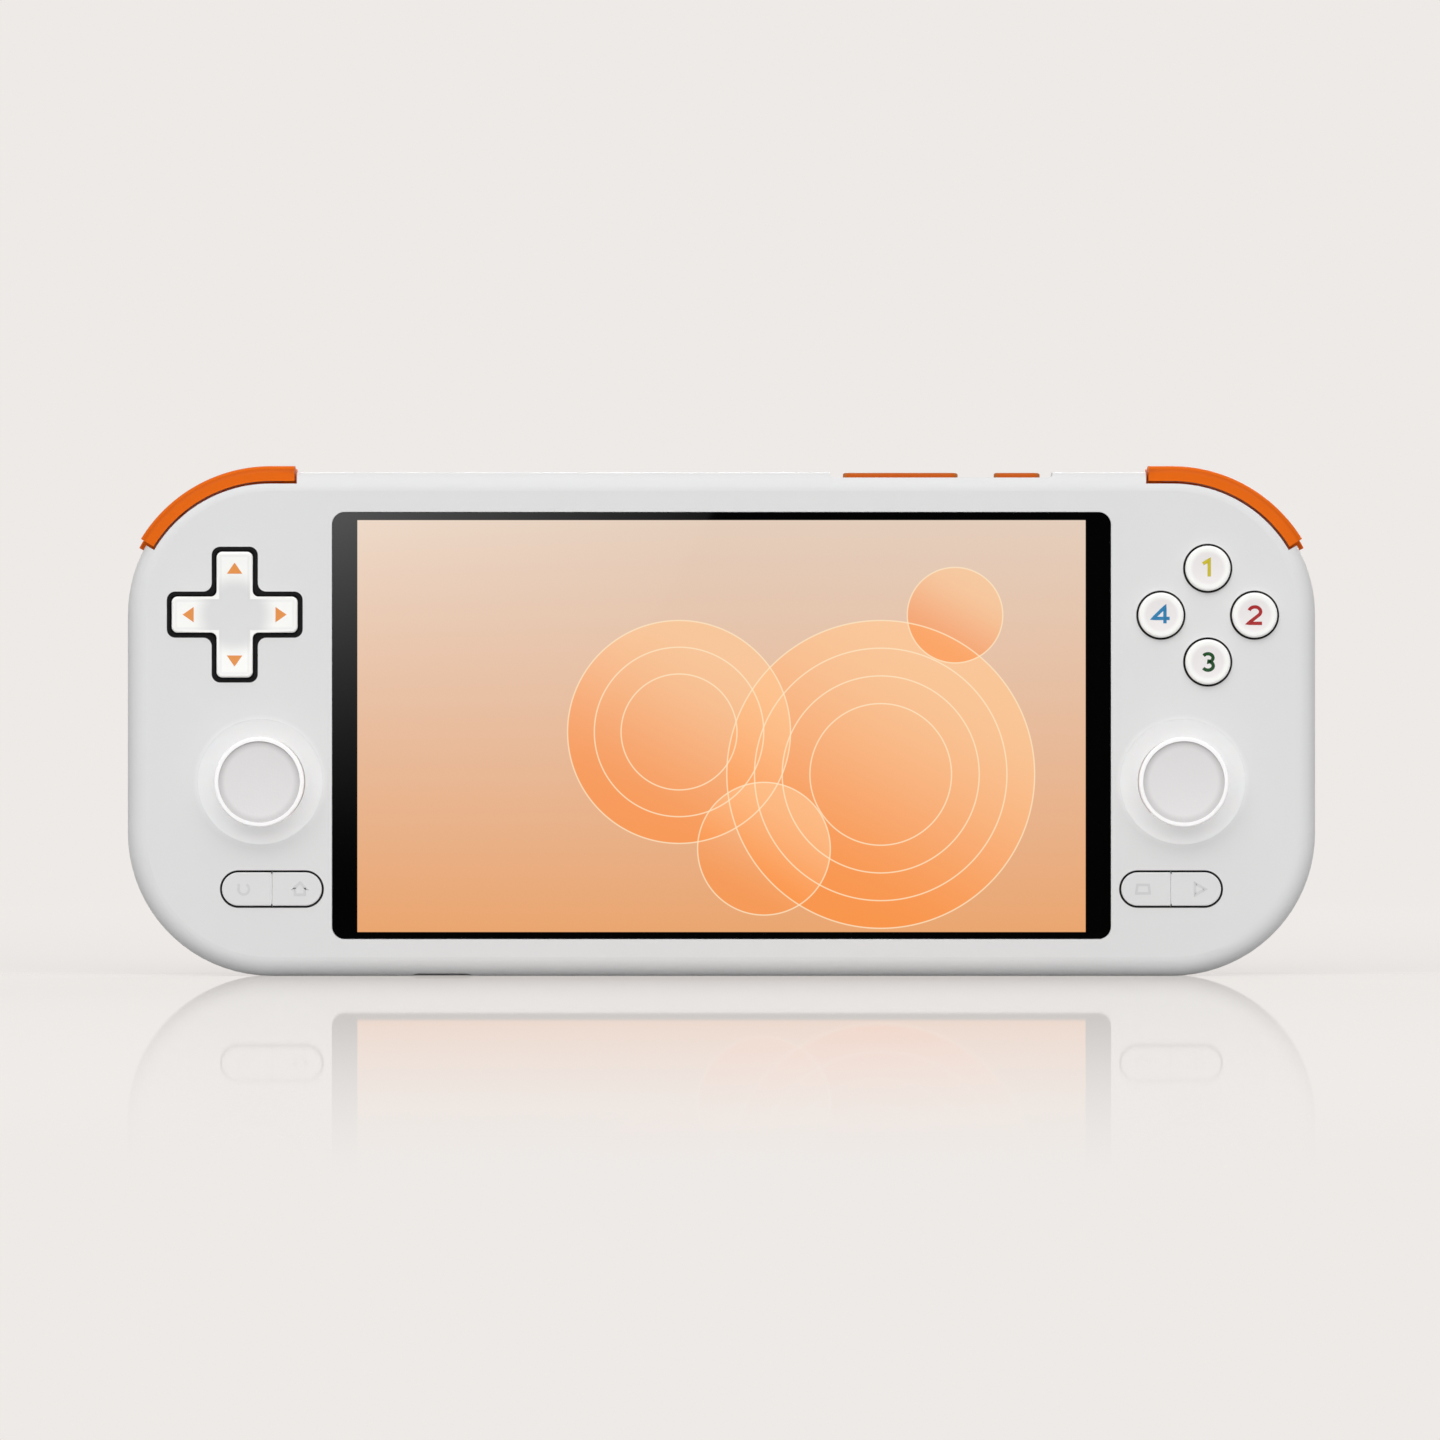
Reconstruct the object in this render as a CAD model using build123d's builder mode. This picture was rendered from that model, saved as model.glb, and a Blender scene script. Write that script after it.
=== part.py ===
from build123d import *
import math
import os

# A handheld game console, in millimetres. X runs along its width, Y from the player through it, Z up.
# It stands on its bottom edge, centred on the origin. Depths are counted from the front face.

# Casing
body_width = 224.0
body_height = 95.0
body_depth = 15.6
corner_radius = 27.0
corner_x = body_width / 2 - corner_radius
corner_z = body_height - corner_radius
front_edge_round = 3.6
rear_edge_round = 4.0
front_wall = 1.8
rear_wall = 1.6
parting_depth = 6.0
grip_rise = 6.4
stick_rise = 6.6
overrun = 1.0
seat_gap = 0.1

# Screen
side_width = 38.7
glass_width = body_width - 2 * side_width
glass_top_margin = 7.65
glass_bottom_margin = 7.05
glass_height = body_height - glass_top_margin - glass_bottom_margin
glass_corner = 2.3
glass_thickness = 1.0
glass_centre_z = glass_bottom_margin + glass_height / 2
glass_recess = 0.1
glass_gap = 0.1
gasket_thickness = 0.15
window_side_ledge = 1.1
window_width = glass_width - 2 * window_side_ledge
window_end_ledge = 0.7
window_height = glass_height - 2 * window_end_ledge
panel_side_margin = 2.8
panel_width = glass_width - 2 * panel_side_margin
panel_end_margin = 1.0
panel_height = glass_height - 2 * panel_end_margin
panel_corner = 1.5
panel_thickness = 1.65
frame_side_overhang = 0.2
frame_width = glass_width + 2 * frame_side_overhang
frame_end_inset = 0.15
frame_height = glass_height - 2 * frame_end_inset
frame_corner = 3.0
frame_thickness = 1.0

# Direction pad
dpad_out = 6.7
dpad_x = corner_x + dpad_out
dpad_up = 0.1
dpad_z = corner_z + dpad_up
dpad_span = 23.7
dpad_arm = 6.8
dpad_round = 1.1
dpad_rise = 1.2
dpad_opening_span = 25.6
dpad_opening_arm = 8.7
dpad_opening_round = 1.6
dpad_gap = 0.3
dpad_flange_radius = 12.8
dpad_flange_depth = 3.1
dpad_flange_thickness = 0.8
dpad_dish_depth = 0.35
pivot_radius = 2.4
pivot_gap = 0.25
pivot_thickness = 1.1

# Face buttons
face_out = 6.6
face_x = corner_x + face_out
face_z = corner_z
face_offset = 8.82
face_hole_radius = 4.5
face_button_radius = 4.25
face_button_rise = 1.6
face_button_round = 0.5
face_flange_radius = 5.1
face_flange_thickness = 0.8
face_stem_radius = 3.4
face_stem_length = 0.7
face_dish_radius = 3.3
face_dish_depth = 0.18

# Menu buttons
menu_in = 0.3
menu_x = corner_x - menu_in
menu_z = 16.4
menu_hole_width = 19.3
menu_hole_height = 6.8
menu_gap = 0.25
menu_split = 0.25
menu_rise = 0.5
menu_round = 0.2
menu_flange = 0.8
menu_flange_thickness = 0.7
menu_stem_width = 4.0
menu_stem_length = 0.6

# Rubber membranes and the boards behind the keys
board_depth = 6.8
board_thickness = 1.0
membrane_thickness = 1.2
membrane_touch = 0.1
dome_radius = 2.6
dome_top_radius = 1.8
board_in = 9.4
board_inner_x = corner_x - board_in
board_out = 21.6
board_outer_x = corner_x + board_out
board_bottom_z = 22.0
board_up = 5.0
board_top_z = corner_z + board_up
board_tab_out = 12.0
board_tab_outer_x = corner_x + board_tab_out
board_tab_bottom_z = 9.5
board_tab_up = 14.5
board_tab_top_z = corner_z + board_tab_up
board_stick_hole = 9.4
board_corner = 2.0

# Thumb sticks
stick_out = 1.9
stick_x = corner_x + stick_out
stick_z = 36.6
stick_pivot_depth = 6.0
stick_cap_radius = 8.5
stick_cap_thickness = 2.4
stick_cap_round = 0.35
stick_grip_radius = 7.65
stick_grip_thickness = 0.9
stick_grip_recess = 0.35
stick_grip_dish = 0.5
stick_neck_radius = 3.2
stick_skirt_radius = 8.4
stick_skirt_wall = 0.8
stick_skirt_angle = 82.0
stick_boss_radius = 2.6
stick_boss_end_depth = 1.5
stick_shaft_radius = 1.5
stick_shaft_top_depth = -3.0
stick_click_room = 0.6
running_gap = 0.05
gimbal_half = 5.4
gimbal_inner_half = 3.7
gimbal_thickness = 2.4
gimbal_pin_radius = 0.8
stick_block_radius = 2.2
stick_block_length = 2.8
stick_ear_inner = 5.8
stick_ear_outer = 6.9
stick_ear_width = 3.2
stick_ear_rise = 1.3
stick_base_size = 20.0
stick_base_corner = 2.0
stick_base_depth = 9.8
stick_base_thickness = 1.6
stick_post_radius = 1.2
stick_post_offset = 8.4
well_radius = 11.8
well_lip_radius = 8.4
well_lip_depth = 2.2
well_lip_thickness = 1.2
well_flange_thickness = 1.0
well_ledge_radius = 10.9

# Shoulder keys
shoulder_x = corner_x
shoulder_drop = 0.6
shoulder_z = corner_z - shoulder_drop
shoulder_in = 4.5
shoulder_inner_x = shoulder_x - shoulder_in
shoulder_reach = 45.0
shoulder_wall = 1.4
bumper_inner_radius = 25.9
bumper_outer_radius = 28.75
bumper_end_angle = 31.5
bumper_near_depth = 1.6
bumper_far_depth = 8.6
bumper_gap = 0.5
bumper_round = 1.3
bumper_small_round = 0.4
bumper_lug_near = 3.3
bumper_lug_far = 7.4
bumper_lug_bottom_up = 22.0
bumper_lug_bottom_z = shoulder_z + bumper_lug_bottom_up
bumper_lug_height = 3.3
bumper_lug_top_z = bumper_lug_bottom_z + bumper_lug_height
bumper_lug_reach = 4.7
bumper_lug_tip_x = shoulder_inner_x - bumper_lug_reach
bumper_lug_root = 1.9
bumper_lug_root_x = shoulder_inner_x + bumper_lug_root
bumper_lug_root_rise = 1.3
bumper_lug_root_z = bumper_lug_top_z + bumper_lug_root_rise
bumper_pin_inset = 1.6
bumper_pin_x = bumper_lug_tip_x + bumper_pin_inset
bumper_pin_z = bumper_lug_bottom_z + bumper_pin_inset
bumper_pin_radius = 0.8
lug_room = 0.5
trigger_near_depth = 10.2
trigger_far_depth = 21.2
trigger_inner_radius = 25.4
trigger_outer_radius = 28.6
trigger_waist_radius = 28.1
trigger_heel_radius = 22.6
trigger_end_angle = 28.0
trigger_small_round = 0.5
trigger_pocket_radius = 21.5
trigger_end_room = 1.4
trigger_pin_up = 18.4
trigger_pin_z = shoulder_z + trigger_pin_up
trigger_pin_depth = 9.5
trigger_pin_radius = 1.0
trigger_lug_width = 3.0
trigger_lug_radius = 1.9
trigger_lug_far = 12.4
trigger_lug_in = 3.2
trigger_lug_x = shoulder_x - trigger_lug_in
trigger_slot_far = 13.6
bracket_cheek = 1.3
bracket_inner_room = 2.2
bracket_inner_x = trigger_lug_x - bracket_inner_room
bracket_outer_room = 4.1
bracket_outer_x = trigger_lug_x + bracket_outer_room
bracket_drop = 6.0
bracket_bottom_z = trigger_pin_z - bracket_drop
bracket_rise = 1.4
bracket_top_z = trigger_pin_z + bracket_rise
bracket_near = 7.8
bracket_back = 1.4
spring_outer_radius = 1.6
spring_inner_radius = 1.1
spring_width = 2.0
spring_wire = 0.5

# Side keys on the top edge
side_key_depth = 8.6
side_key_width = 3.4
side_key_gap = 0.25
side_key_top_gap = 0.05
scallop_start_x = 20.5
scallop_end_x = 62.4
scallop_depth = 1.05
scallop_round = 0.7
key_ledge_thickness = 2.8
key_ledge_bottom_z = body_height - key_ledge_thickness
key_flange_gap = 0.45
key_flange_thickness = 0.8
key_flange_overhang = 0.6
volume_x = 33.8
volume_length = 21.7
power_x = 55.8
power_length = 8.7
key_board_drop = 4.2
key_board_top_z = key_ledge_bottom_z - key_board_drop
key_board_thickness = 0.8
key_board_start_x = 21.0
key_board_end_x = 62.0
key_post_width = 4.0
switch_length = 4.0
switch_width = 3.0
switch_height = 1.6
plunger_radius = 0.9
plunger_gap = 0.45
switch_angle = 50.0

# Shell screws, bosses and posts
boss_radius = 3.0
front_boss_radius = 2.2
screw_shank_radius = 0.9
screw_head_radius = 1.9
screw_head_height = 1.3
screw_seat_depth = 11.0
screw_end_depth = 3.0
screw_socket_radius = 0.8
screw_socket_depth = 0.7
counterbore_radius = 2.1
edge_screw_in = 19.0
edge_screw_x = corner_x - edge_screw_in
edge_screw_inset = 4.2
edge_screw_top_z = body_height - edge_screw_inset
edge_screw_bottom_z = edge_screw_inset
middle_screw_top_x = -27.0
middle_screw_bottom_x = 20.0
grip_screw_out = 19.5
grip_screw_x = corner_x + grip_screw_out
grip_screw_z = 47.5
post_radius = 1.4
post_hole_radius = 0.75
small_screw_radius = 0.7
small_head_radius = 1.5
small_head_height = 0.8
post_inner_inset = 3.4
post_inner_x = board_inner_x + post_inner_inset
post_outer_inset = 3.1
post_outer_x = board_outer_x - post_outer_inset
post_drop = 12.1
post_high_z = dpad_z - post_drop
post_low_z = 24.5
bottom_screw_in = 12.6
bottom_screw_x = corner_x - bottom_screw_in
bottom_screw_head_radius = 1.3
bottom_screw_head_height = 0.8
bottom_screw_length = 5.0
bottom_boss_width = 5.0
bottom_boss_height = 6.0

# Main board and what sits on it
main_board_depth = 5.6
fan_size = 44.0
board_spacing = 6.0
main_board_end_x = board_inner_x - board_spacing
main_board_bottom_z = 5.0
main_board_top_margin = 9.0
main_board_top_z = body_height - main_board_top_margin
fan_inset = 2.6
fan_x = main_board_end_x - fan_inset - fan_size / 2
fan_top_inset = 4.0
fan_z = main_board_top_z - fan_top_inset - fan_size / 2
shield_size = 30.0
shield_spacing = 8.0
processor_x = fan_x - (fan_size + shield_size) / 2 - shield_spacing
main_board_margin = 9.0
main_board_start_x = processor_x - shield_size / 2 - main_board_margin
main_tab_start_x = -62.0
main_tab_bottom_z = 2.6
main_tab_top_z = 18.0
main_post_inset = 3.0
main_post_left_x = main_board_start_x + main_post_inset
main_post_gap = 3.7
main_post_middle_x = fan_x - fan_size / 2 - main_post_gap
main_post_end_inset = 2.6
main_post_right_x = main_board_end_x - main_post_end_inset
main_post_drop = 20.0
main_post_high_z = main_board_top_z - main_post_drop
main_post_low_z = 24.0
main_post_right_z = 30.0
shield_corner = 1.5
shield_height = 1.8
processor_z = 46.0
battery_side_gap = 4.6
battery_start_x = battery_side_gap - board_inner_x
battery_gap = 2.0
battery_end_x = main_board_start_x - battery_gap
battery_bottom_z = 20.0
battery_top_z = main_board_top_z
battery_corner = 2.5
battery_near_gap = 0.2
battery_thickness = 7.0

# Fan, heat pipe and heat sink
fan_corner = 4.0
fan_height = 6.0
fan_wall = 0.9
fan_chamber_radius = 19.0
fan_intake_radius = 11.0
fan_outlet_height = 15.0
fan_post_radius = 1.5
rotor_hub_radius = 7.0
rotor_radius = 16.5
rotor_blade_width = 0.8
rotor_blade_count = 15
rotor_gap = 0.4
pipe_width = 8.0
pipe_thickness = 2.0
pipe_bottom_z = 36.0
sink_top_margin = 3.0
sink_top_z = body_height - sink_top_margin
sink_fin_length = 11.4
sink_fin_bottom_z = sink_top_z - sink_fin_length
pipe_end_gap = 0.6
pipe_top_z = sink_fin_bottom_z - pipe_end_gap
sink_left_reach = 18.0
sink_start_x = processor_x - sink_left_reach
sink_right_reach = 16.0
sink_end_x = processor_x + sink_right_reach
sink_base_length = 22.0
sink_base_bottom_z = sink_top_z - sink_base_length
sink_base_thickness = 0.8
sink_fin_thickness = 0.6
sink_fin_height = 3.2
sink_fin_count = 12

# Ports
usb_x = 0.0
usb_width = 8.94
usb_thickness = 3.2
usb_wall = 0.3
usb_length = 7.4
usb_mouth_z = 0.4
usb_tongue_width = 6.7
usb_tongue_thickness = 0.7
usb_opening_width = 9.4
usb_opening_height = 3.6
jack_x = -16.6
jack_bore_radius = 1.75
jack_barrel_radius = 2.5
jack_opening_radius = 2.6
jack_mouth_z = 0.3
jack_body_width = 6.2
jack_length = 14.6
jack_bore_length = 14.0
jack_barrel_length = 2.2
card_x = -52.7
card_recess_width = 11.6
card_recess_near = 1.9
card_recess_far = 7.4
card_recess_height = 1.3
card_recess_round = 1.4
card_slot_width = 11.3
card_slot_thickness = 0.9
card_reader_width = 13.4
card_reader_length = 14.0
card_reader_thickness = 1.4
card_reader_bottom_z = 2.8

# Speakers and openings of the rear shell
speaker_width = 22.0
speaker_height = 12.0
speaker_corner = 2.0
speaker_thickness = 5.0
speaker_left_x = -41.0
speaker_right_x = 44.0
speaker_z = 12.5
speaker_cone_radius = 4.4
speaker_cone_depth = 1.0
sound_slot_width = 1.1
sound_slot_length = 7.0
sound_slot_pitch = 2.6
sound_slot_count = 6
vent_slot_width = 1.6
vent_slot_pitch = 3.4
vent_radius = 17.0
outlet_slot_width = 1.8
outlet_slot_length = 4.6
outlet_slot_count = 9
outlet_slot_pitch = 3.7
outlet_slot_depth = 9.2

# Rear grips
grip_in = 3.5
grip_x = corner_x - grip_in
grip_z = 43.0
grip_width = 38.0
grip_height = 62.0
grip_corner = 18.0
grip_lean = 20.0
grip_round = 5.0
grip_blend = 2.4

# Derived places
total_depth = stick_rise + body_depth + grip_rise
front_y = stick_rise - total_depth / 2
body_centre = (0, body_height / 2)
glass_centre = (0, glass_centre_z)
glass_far = glass_recess + glass_thickness
window_ledge = glass_far + gasket_thickness
panel_far = glass_far + panel_thickness
frame_far = panel_far + frame_thickness
cavity_depth = body_depth - rear_wall
board_far = board_depth + board_thickness
main_board_far = main_board_depth + board_thickness
usb_depth = main_board_far + usb_thickness / 2
jack_depth = main_board_far + jack_barrel_radius
shoulder_inner_wall = trigger_pocket_radius - shoulder_wall
lug_slot_x = shoulder_inner_x - bumper_gap - shoulder_wall - seat_gap
sides = (("left", -1), ("right", 1))

os.makedirs("parts", exist_ok=True)


def facing(depth):
    """A plane at a depth behind the front face, which looks at the player, with X along and Z up."""
    return Plane.XZ.offset(-(front_y + depth))


def at_depth(depth):
    """The Y of a depth behind the front face."""
    return front_y + depth


def block(width, height, radius, near, far, centre):
    """A rounded rectangle as the player sees it, between two depths."""
    with BuildPart() as made:
        with BuildSketch(facing(far)):
            with Locations(centre):
                if radius:
                    RectangleRounded(width, height, radius)
                else:
                    Rectangle(width, height)
        extrude(amount=far - near)
    return made.part


def span_block(x_range, z_range, radius, near, far):
    """A block given by its limits along X and Z."""
    width = x_range[1] - x_range[0]
    height = z_range[1] - z_range[0]
    centre = ((x_range[0] + x_range[1]) / 2, (z_range[0] + z_range[1]) / 2)
    return block(abs(width), height, radius, near, far, centre)


def disc(radius, near, far, centre):
    """A round pin or hole along Y, between two depths."""
    with BuildPart() as made:
        with BuildSketch(facing(far)):
            with Locations(centre):
                Circle(radius)
        extrude(amount=far - near)
    return made.part


def cross(span, arm, radius, near, far, centre):
    """A rounded cross between two depths."""
    with BuildPart() as made:
        with BuildSketch(facing(far)) as outline:
            with Locations(centre):
                Rectangle(span, arm)
                Rectangle(arm, span)
            fillet(outline.vertices(), radius)
        extrude(amount=far - near)
    return made.part


def pill(width, height, near, far, centre):
    """A slot with round ends between two depths."""
    with BuildPart() as made:
        with BuildSketch(facing(far)):
            with Locations(centre):
                SlotOverall(width, height)
        extrude(amount=far - near)
    return made.part


def turned(profile, centre):
    """A solid of revolution about a line along Y, from points of radius and depth."""
    x, z = centre
    with BuildPart() as made:
        with BuildSketch(Plane.XY.offset(z)):
            with BuildLine():
                Polyline([(x + radius, at_depth(depth)) for radius, depth in profile], close=True)
            make_face()
        revolve(axis=Axis((x, 0, z), (0, 1, 0)))
    return made.part


def shoulder_band(sign, inner, outer, end_angle, inner_x, near, far):
    """A band round a top corner, from its straight inner end to its lower end, between two depths."""
    centre = (sign * shoulder_x, shoulder_z)
    sweep_angle = -sign * (90 - end_angle)
    with BuildPart() as made:
        with BuildSketch(facing(far)):
            with BuildLine():
                outer_arc = CenterArc(centre, outer, 90, sweep_angle)
                inner_arc = CenterArc(centre, inner, 90, sweep_angle)
                Line(outer_arc @ 1, inner_arc @ 1)
                Polyline(
                    outer_arc @ 0,
                    (sign * inner_x, shoulder_z + outer),
                    (sign * inner_x, shoulder_z + inner),
                    inner_arc @ 0,
                )
            make_face()
        extrude(amount=far - near)
    return made.part


def arc_angle(length, radius):
    """The angle in degrees of a length along an arc."""
    return math.degrees(length / radius)


def grip_swell(sign, wall):
    """The swell of a grip behind the rear face, or its hollow where a wall is given."""
    root_depth = body_depth - 2 * wall
    slope = math.tan(math.radians(grip_lean))
    inset = wall / math.cos(math.radians(grip_lean)) - 2 * wall * slope
    foot = Plane(
        origin=(sign * grip_x, at_depth(root_depth), grip_z), x_dir=(-1, 0, 0), z_dir=(0, 1, 0)
    )
    with BuildPart() as made:
        with BuildSketch(foot):
            RectangleRounded(grip_width - 2 * inset, grip_height - 2 * inset, grip_corner - inset)
        extrude(amount=grip_rise + wall, taper=grip_lean)
        fillet(made.faces().sort_by(Axis.Y)[-1].edges(), grip_round - wall)
    return made.part


# Places that several pieces share
edge_screws = [
    (x, z)
    for x, z in (
        (-edge_screw_x, edge_screw_top_z),
        (edge_screw_x, edge_screw_top_z),
        (middle_screw_top_x, edge_screw_top_z),
        (-edge_screw_x, edge_screw_bottom_z),
        (edge_screw_x, edge_screw_bottom_z),
        (middle_screw_bottom_x, edge_screw_bottom_z),
    )
]
grip_screws = [(sign * grip_screw_x, grip_screw_z) for name, sign in sides]
shell_screw_places = edge_screws + grip_screws
board_posts = [
    (sign * x, z)
    for name, sign in sides
    for x, z in ((post_inner_x, post_high_z), (post_outer_x, post_high_z), (post_inner_x, post_low_z))
]
face_places = [
    (face_x, face_z + face_offset),
    (face_x + face_offset, face_z),
    (face_x, face_z - face_offset),
    (face_x - face_offset, face_z),
]
dpad_place = (-dpad_x, dpad_z)
stick_places = {name: (sign * stick_x, stick_z) for name, sign in sides}
menu_places = {name: (sign * menu_x, menu_z) for name, sign in sides}
main_board_posts = [
    (main_post_left_x, main_post_high_z),
    (main_post_left_x, main_post_low_z),
    (main_post_middle_x, main_post_high_z),
    (main_post_right_x, main_post_right_z),
]

# Front shell
with BuildPart() as front_cavity:
    with BuildSketch(facing(parting_depth + overrun)):
        with Locations(body_centre):
            RectangleRounded(
                body_width - 2 * front_wall, body_height - 2 * front_wall, corner_radius - front_wall
            )
    extrude(amount=parting_depth + overrun - front_wall)
    fillet(front_cavity.faces().sort_by(Axis.Y)[0].edges(), front_edge_round - front_wall)
    for name, sign in sides:
        wall_end = bumper_end_angle - arc_angle(bumper_gap + shoulder_wall, bumper_inner_radius)
        wall_inner_x = shoulder_inner_x - bumper_gap - shoulder_wall
        outer_wall = bumper_inner_radius - bumper_gap - shoulder_wall
        deep_near = parting_depth - shoulder_wall
        far = parting_depth + 2 * overrun
        add(
            shoulder_band(sign, outer_wall, shoulder_reach, wall_end, wall_inner_x, 0, far),
            mode=Mode.SUBTRACT,
        )
        add(
            shoulder_band(
                sign, shoulder_inner_wall, shoulder_reach, wall_end, wall_inner_x, deep_near, far
            ),
            mode=Mode.SUBTRACT,
        )
    for place in shell_screw_places:
        add(disc(front_boss_radius, 0, far, place), mode=Mode.SUBTRACT)
    for name, sign in sides:
        pin_place = (sign * bumper_pin_x, bumper_pin_z)
        add(disc(bumper_pin_radius, 0, far, pin_place), mode=Mode.SUBTRACT)

with BuildPart() as front_shell:
    with BuildSketch(facing(parting_depth)):
        with Locations(body_centre):
            RectangleRounded(body_width, body_height, corner_radius)
    extrude(amount=parting_depth)
    fillet(front_shell.faces().sort_by(Axis.Y)[0].edges(), front_edge_round)
    add(front_cavity.part, mode=Mode.SUBTRACT)
    add(
        block(
            glass_width + 2 * glass_gap,
            glass_height + 2 * glass_gap,
            glass_corner + glass_gap,
            -overrun,
            window_ledge,
            glass_centre,
        ),
        mode=Mode.SUBTRACT,
    )
    add(block(window_width, window_height, panel_corner, 0, far, glass_centre), mode=Mode.SUBTRACT)
    add(
        cross(
            dpad_opening_span, dpad_opening_arm, dpad_opening_round, -overrun, far, dpad_place
        ),
        mode=Mode.SUBTRACT,
    )
    for place in face_places:
        add(disc(face_hole_radius, -overrun, far, place), mode=Mode.SUBTRACT)
    for name, sign in sides:
        add(pill(menu_hole_width, menu_hole_height, -overrun, far, menu_places[name]), mode=Mode.SUBTRACT)
        add(disc(well_radius, -overrun, well_flange_thickness, stick_places[name]), mode=Mode.SUBTRACT)
        add(disc(well_ledge_radius, 0, far, stick_places[name]), mode=Mode.SUBTRACT)
        notch_end = bumper_end_angle - arc_angle(bumper_gap, bumper_inner_radius)
        add(
            shoulder_band(
                sign,
                bumper_inner_radius - bumper_gap,
                shoulder_reach,
                notch_end,
                shoulder_inner_x - bumper_gap,
                -overrun,
                far,
            ),
            mode=Mode.SUBTRACT,
        )
        lug_x = (sign * lug_slot_x, sign * (bumper_lug_root_x + lug_room))
        lug_z = (bumper_lug_bottom_z - lug_room, bumper_lug_top_z + lug_room)
        add(span_block(lug_x, lug_z, 0, bumper_lug_near - lug_room, far), mode=Mode.SUBTRACT)
        root_x = (sign * (shoulder_inner_x - bumper_gap), sign * (bumper_lug_root_x + lug_room))
        root_z = (bumper_lug_bottom_z - lug_room, body_height + overrun)
        add(span_block(root_x, root_z, 0, bumper_lug_near - lug_room, far), mode=Mode.SUBTRACT)
    for place in board_posts:
        add(disc(post_radius, front_wall - glass_recess, board_depth, place))
        add(disc(post_hole_radius, front_wall + overrun, board_depth + overrun, place), mode=Mode.SUBTRACT)
    for place in shell_screw_places:
        add(disc(screw_shank_radius, screw_end_depth, far, place), mode=Mode.SUBTRACT)
    add(
        span_block(
            (scallop_start_x, scallop_end_x),
            (body_height - scallop_depth, body_height + scallop_depth + overrun),
            scallop_round,
            -overrun,
            far,
        ),
        mode=Mode.SUBTRACT,
    )
    with BuildSketch(Plane.XY.offset(-overrun)):
        with Locations((card_x, at_depth((card_recess_near + card_recess_far) / 2))):
            RectangleRounded(card_recess_width, card_recess_far - card_recess_near, card_recess_round)
    extrude(amount=overrun + card_recess_height, mode=Mode.SUBTRACT)
    card_depth = main_board_depth - card_reader_thickness / 2
    with BuildSketch(Plane.XY.offset(-overrun)):
        with Locations((card_x, at_depth(card_depth))):
            Rectangle(card_slot_width, card_slot_thickness)
    extrude(amount=overrun + front_wall + overrun, mode=Mode.SUBTRACT)
front_shell.part.label = "front_shell"
export_step(front_shell.part, "parts/front_shell.step")

# Rear shell
with BuildPart() as rear_cavity:
    with BuildSketch(facing(cavity_depth)):
        with Locations(body_centre):
            RectangleRounded(
                body_width - 2 * rear_wall, body_height - 2 * rear_wall, corner_radius - rear_wall
            )
    extrude(amount=cavity_depth - parting_depth + overrun)
    fillet(rear_cavity.faces().sort_by(Axis.Y)[-1].edges(), rear_edge_round - rear_wall)
    for name, sign in sides:
        add(grip_swell(sign, rear_wall))
    for name, sign in sides:
        pocket_end = trigger_end_angle - arc_angle(trigger_end_room, trigger_inner_radius)
        pocket_wall_end = pocket_end - arc_angle(shoulder_wall, trigger_pocket_radius)
        add(
            shoulder_band(
                sign,
                shoulder_inner_wall,
                shoulder_reach,
                pocket_wall_end,
                shoulder_inner_x - bumper_gap - shoulder_wall,
                0,
                body_depth,
            ),
            mode=Mode.SUBTRACT,
        )
        bottom_boss_x = (
            sign * (bottom_screw_x - bottom_boss_width / 2),
            sign * (bottom_screw_x + bottom_boss_width / 2),
        )
        add(
            span_block(
                bottom_boss_x,
                (0, bottom_boss_height),
                0,
                side_key_depth - bottom_boss_width / 2,
                side_key_depth + bottom_boss_width / 2,
            ),
            mode=Mode.SUBTRACT,
        )
    for place in shell_screw_places:
        add(disc(boss_radius, 0, body_depth + grip_rise, place), mode=Mode.SUBTRACT)
    ledge_x = (scallop_start_x - rear_wall, scallop_end_x + rear_wall)
    ledge_far = side_key_depth + side_key_width / 2 + 2 * rear_wall
    add(
        span_block(ledge_x, (key_ledge_bottom_z, body_height), 0, 0, ledge_far),
        mode=Mode.SUBTRACT,
    )
    key_board_far = side_key_depth + side_key_width / 2
    for x in (key_board_start_x + key_post_width / 2, key_board_end_x - key_post_width / 2):
        add(
            block(
                key_post_width,
                key_board_thickness,
                0,
                key_board_far,
                body_depth,
                (x, key_board_top_z - key_board_thickness / 2),
            ),
            mode=Mode.SUBTRACT,
        )

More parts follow.
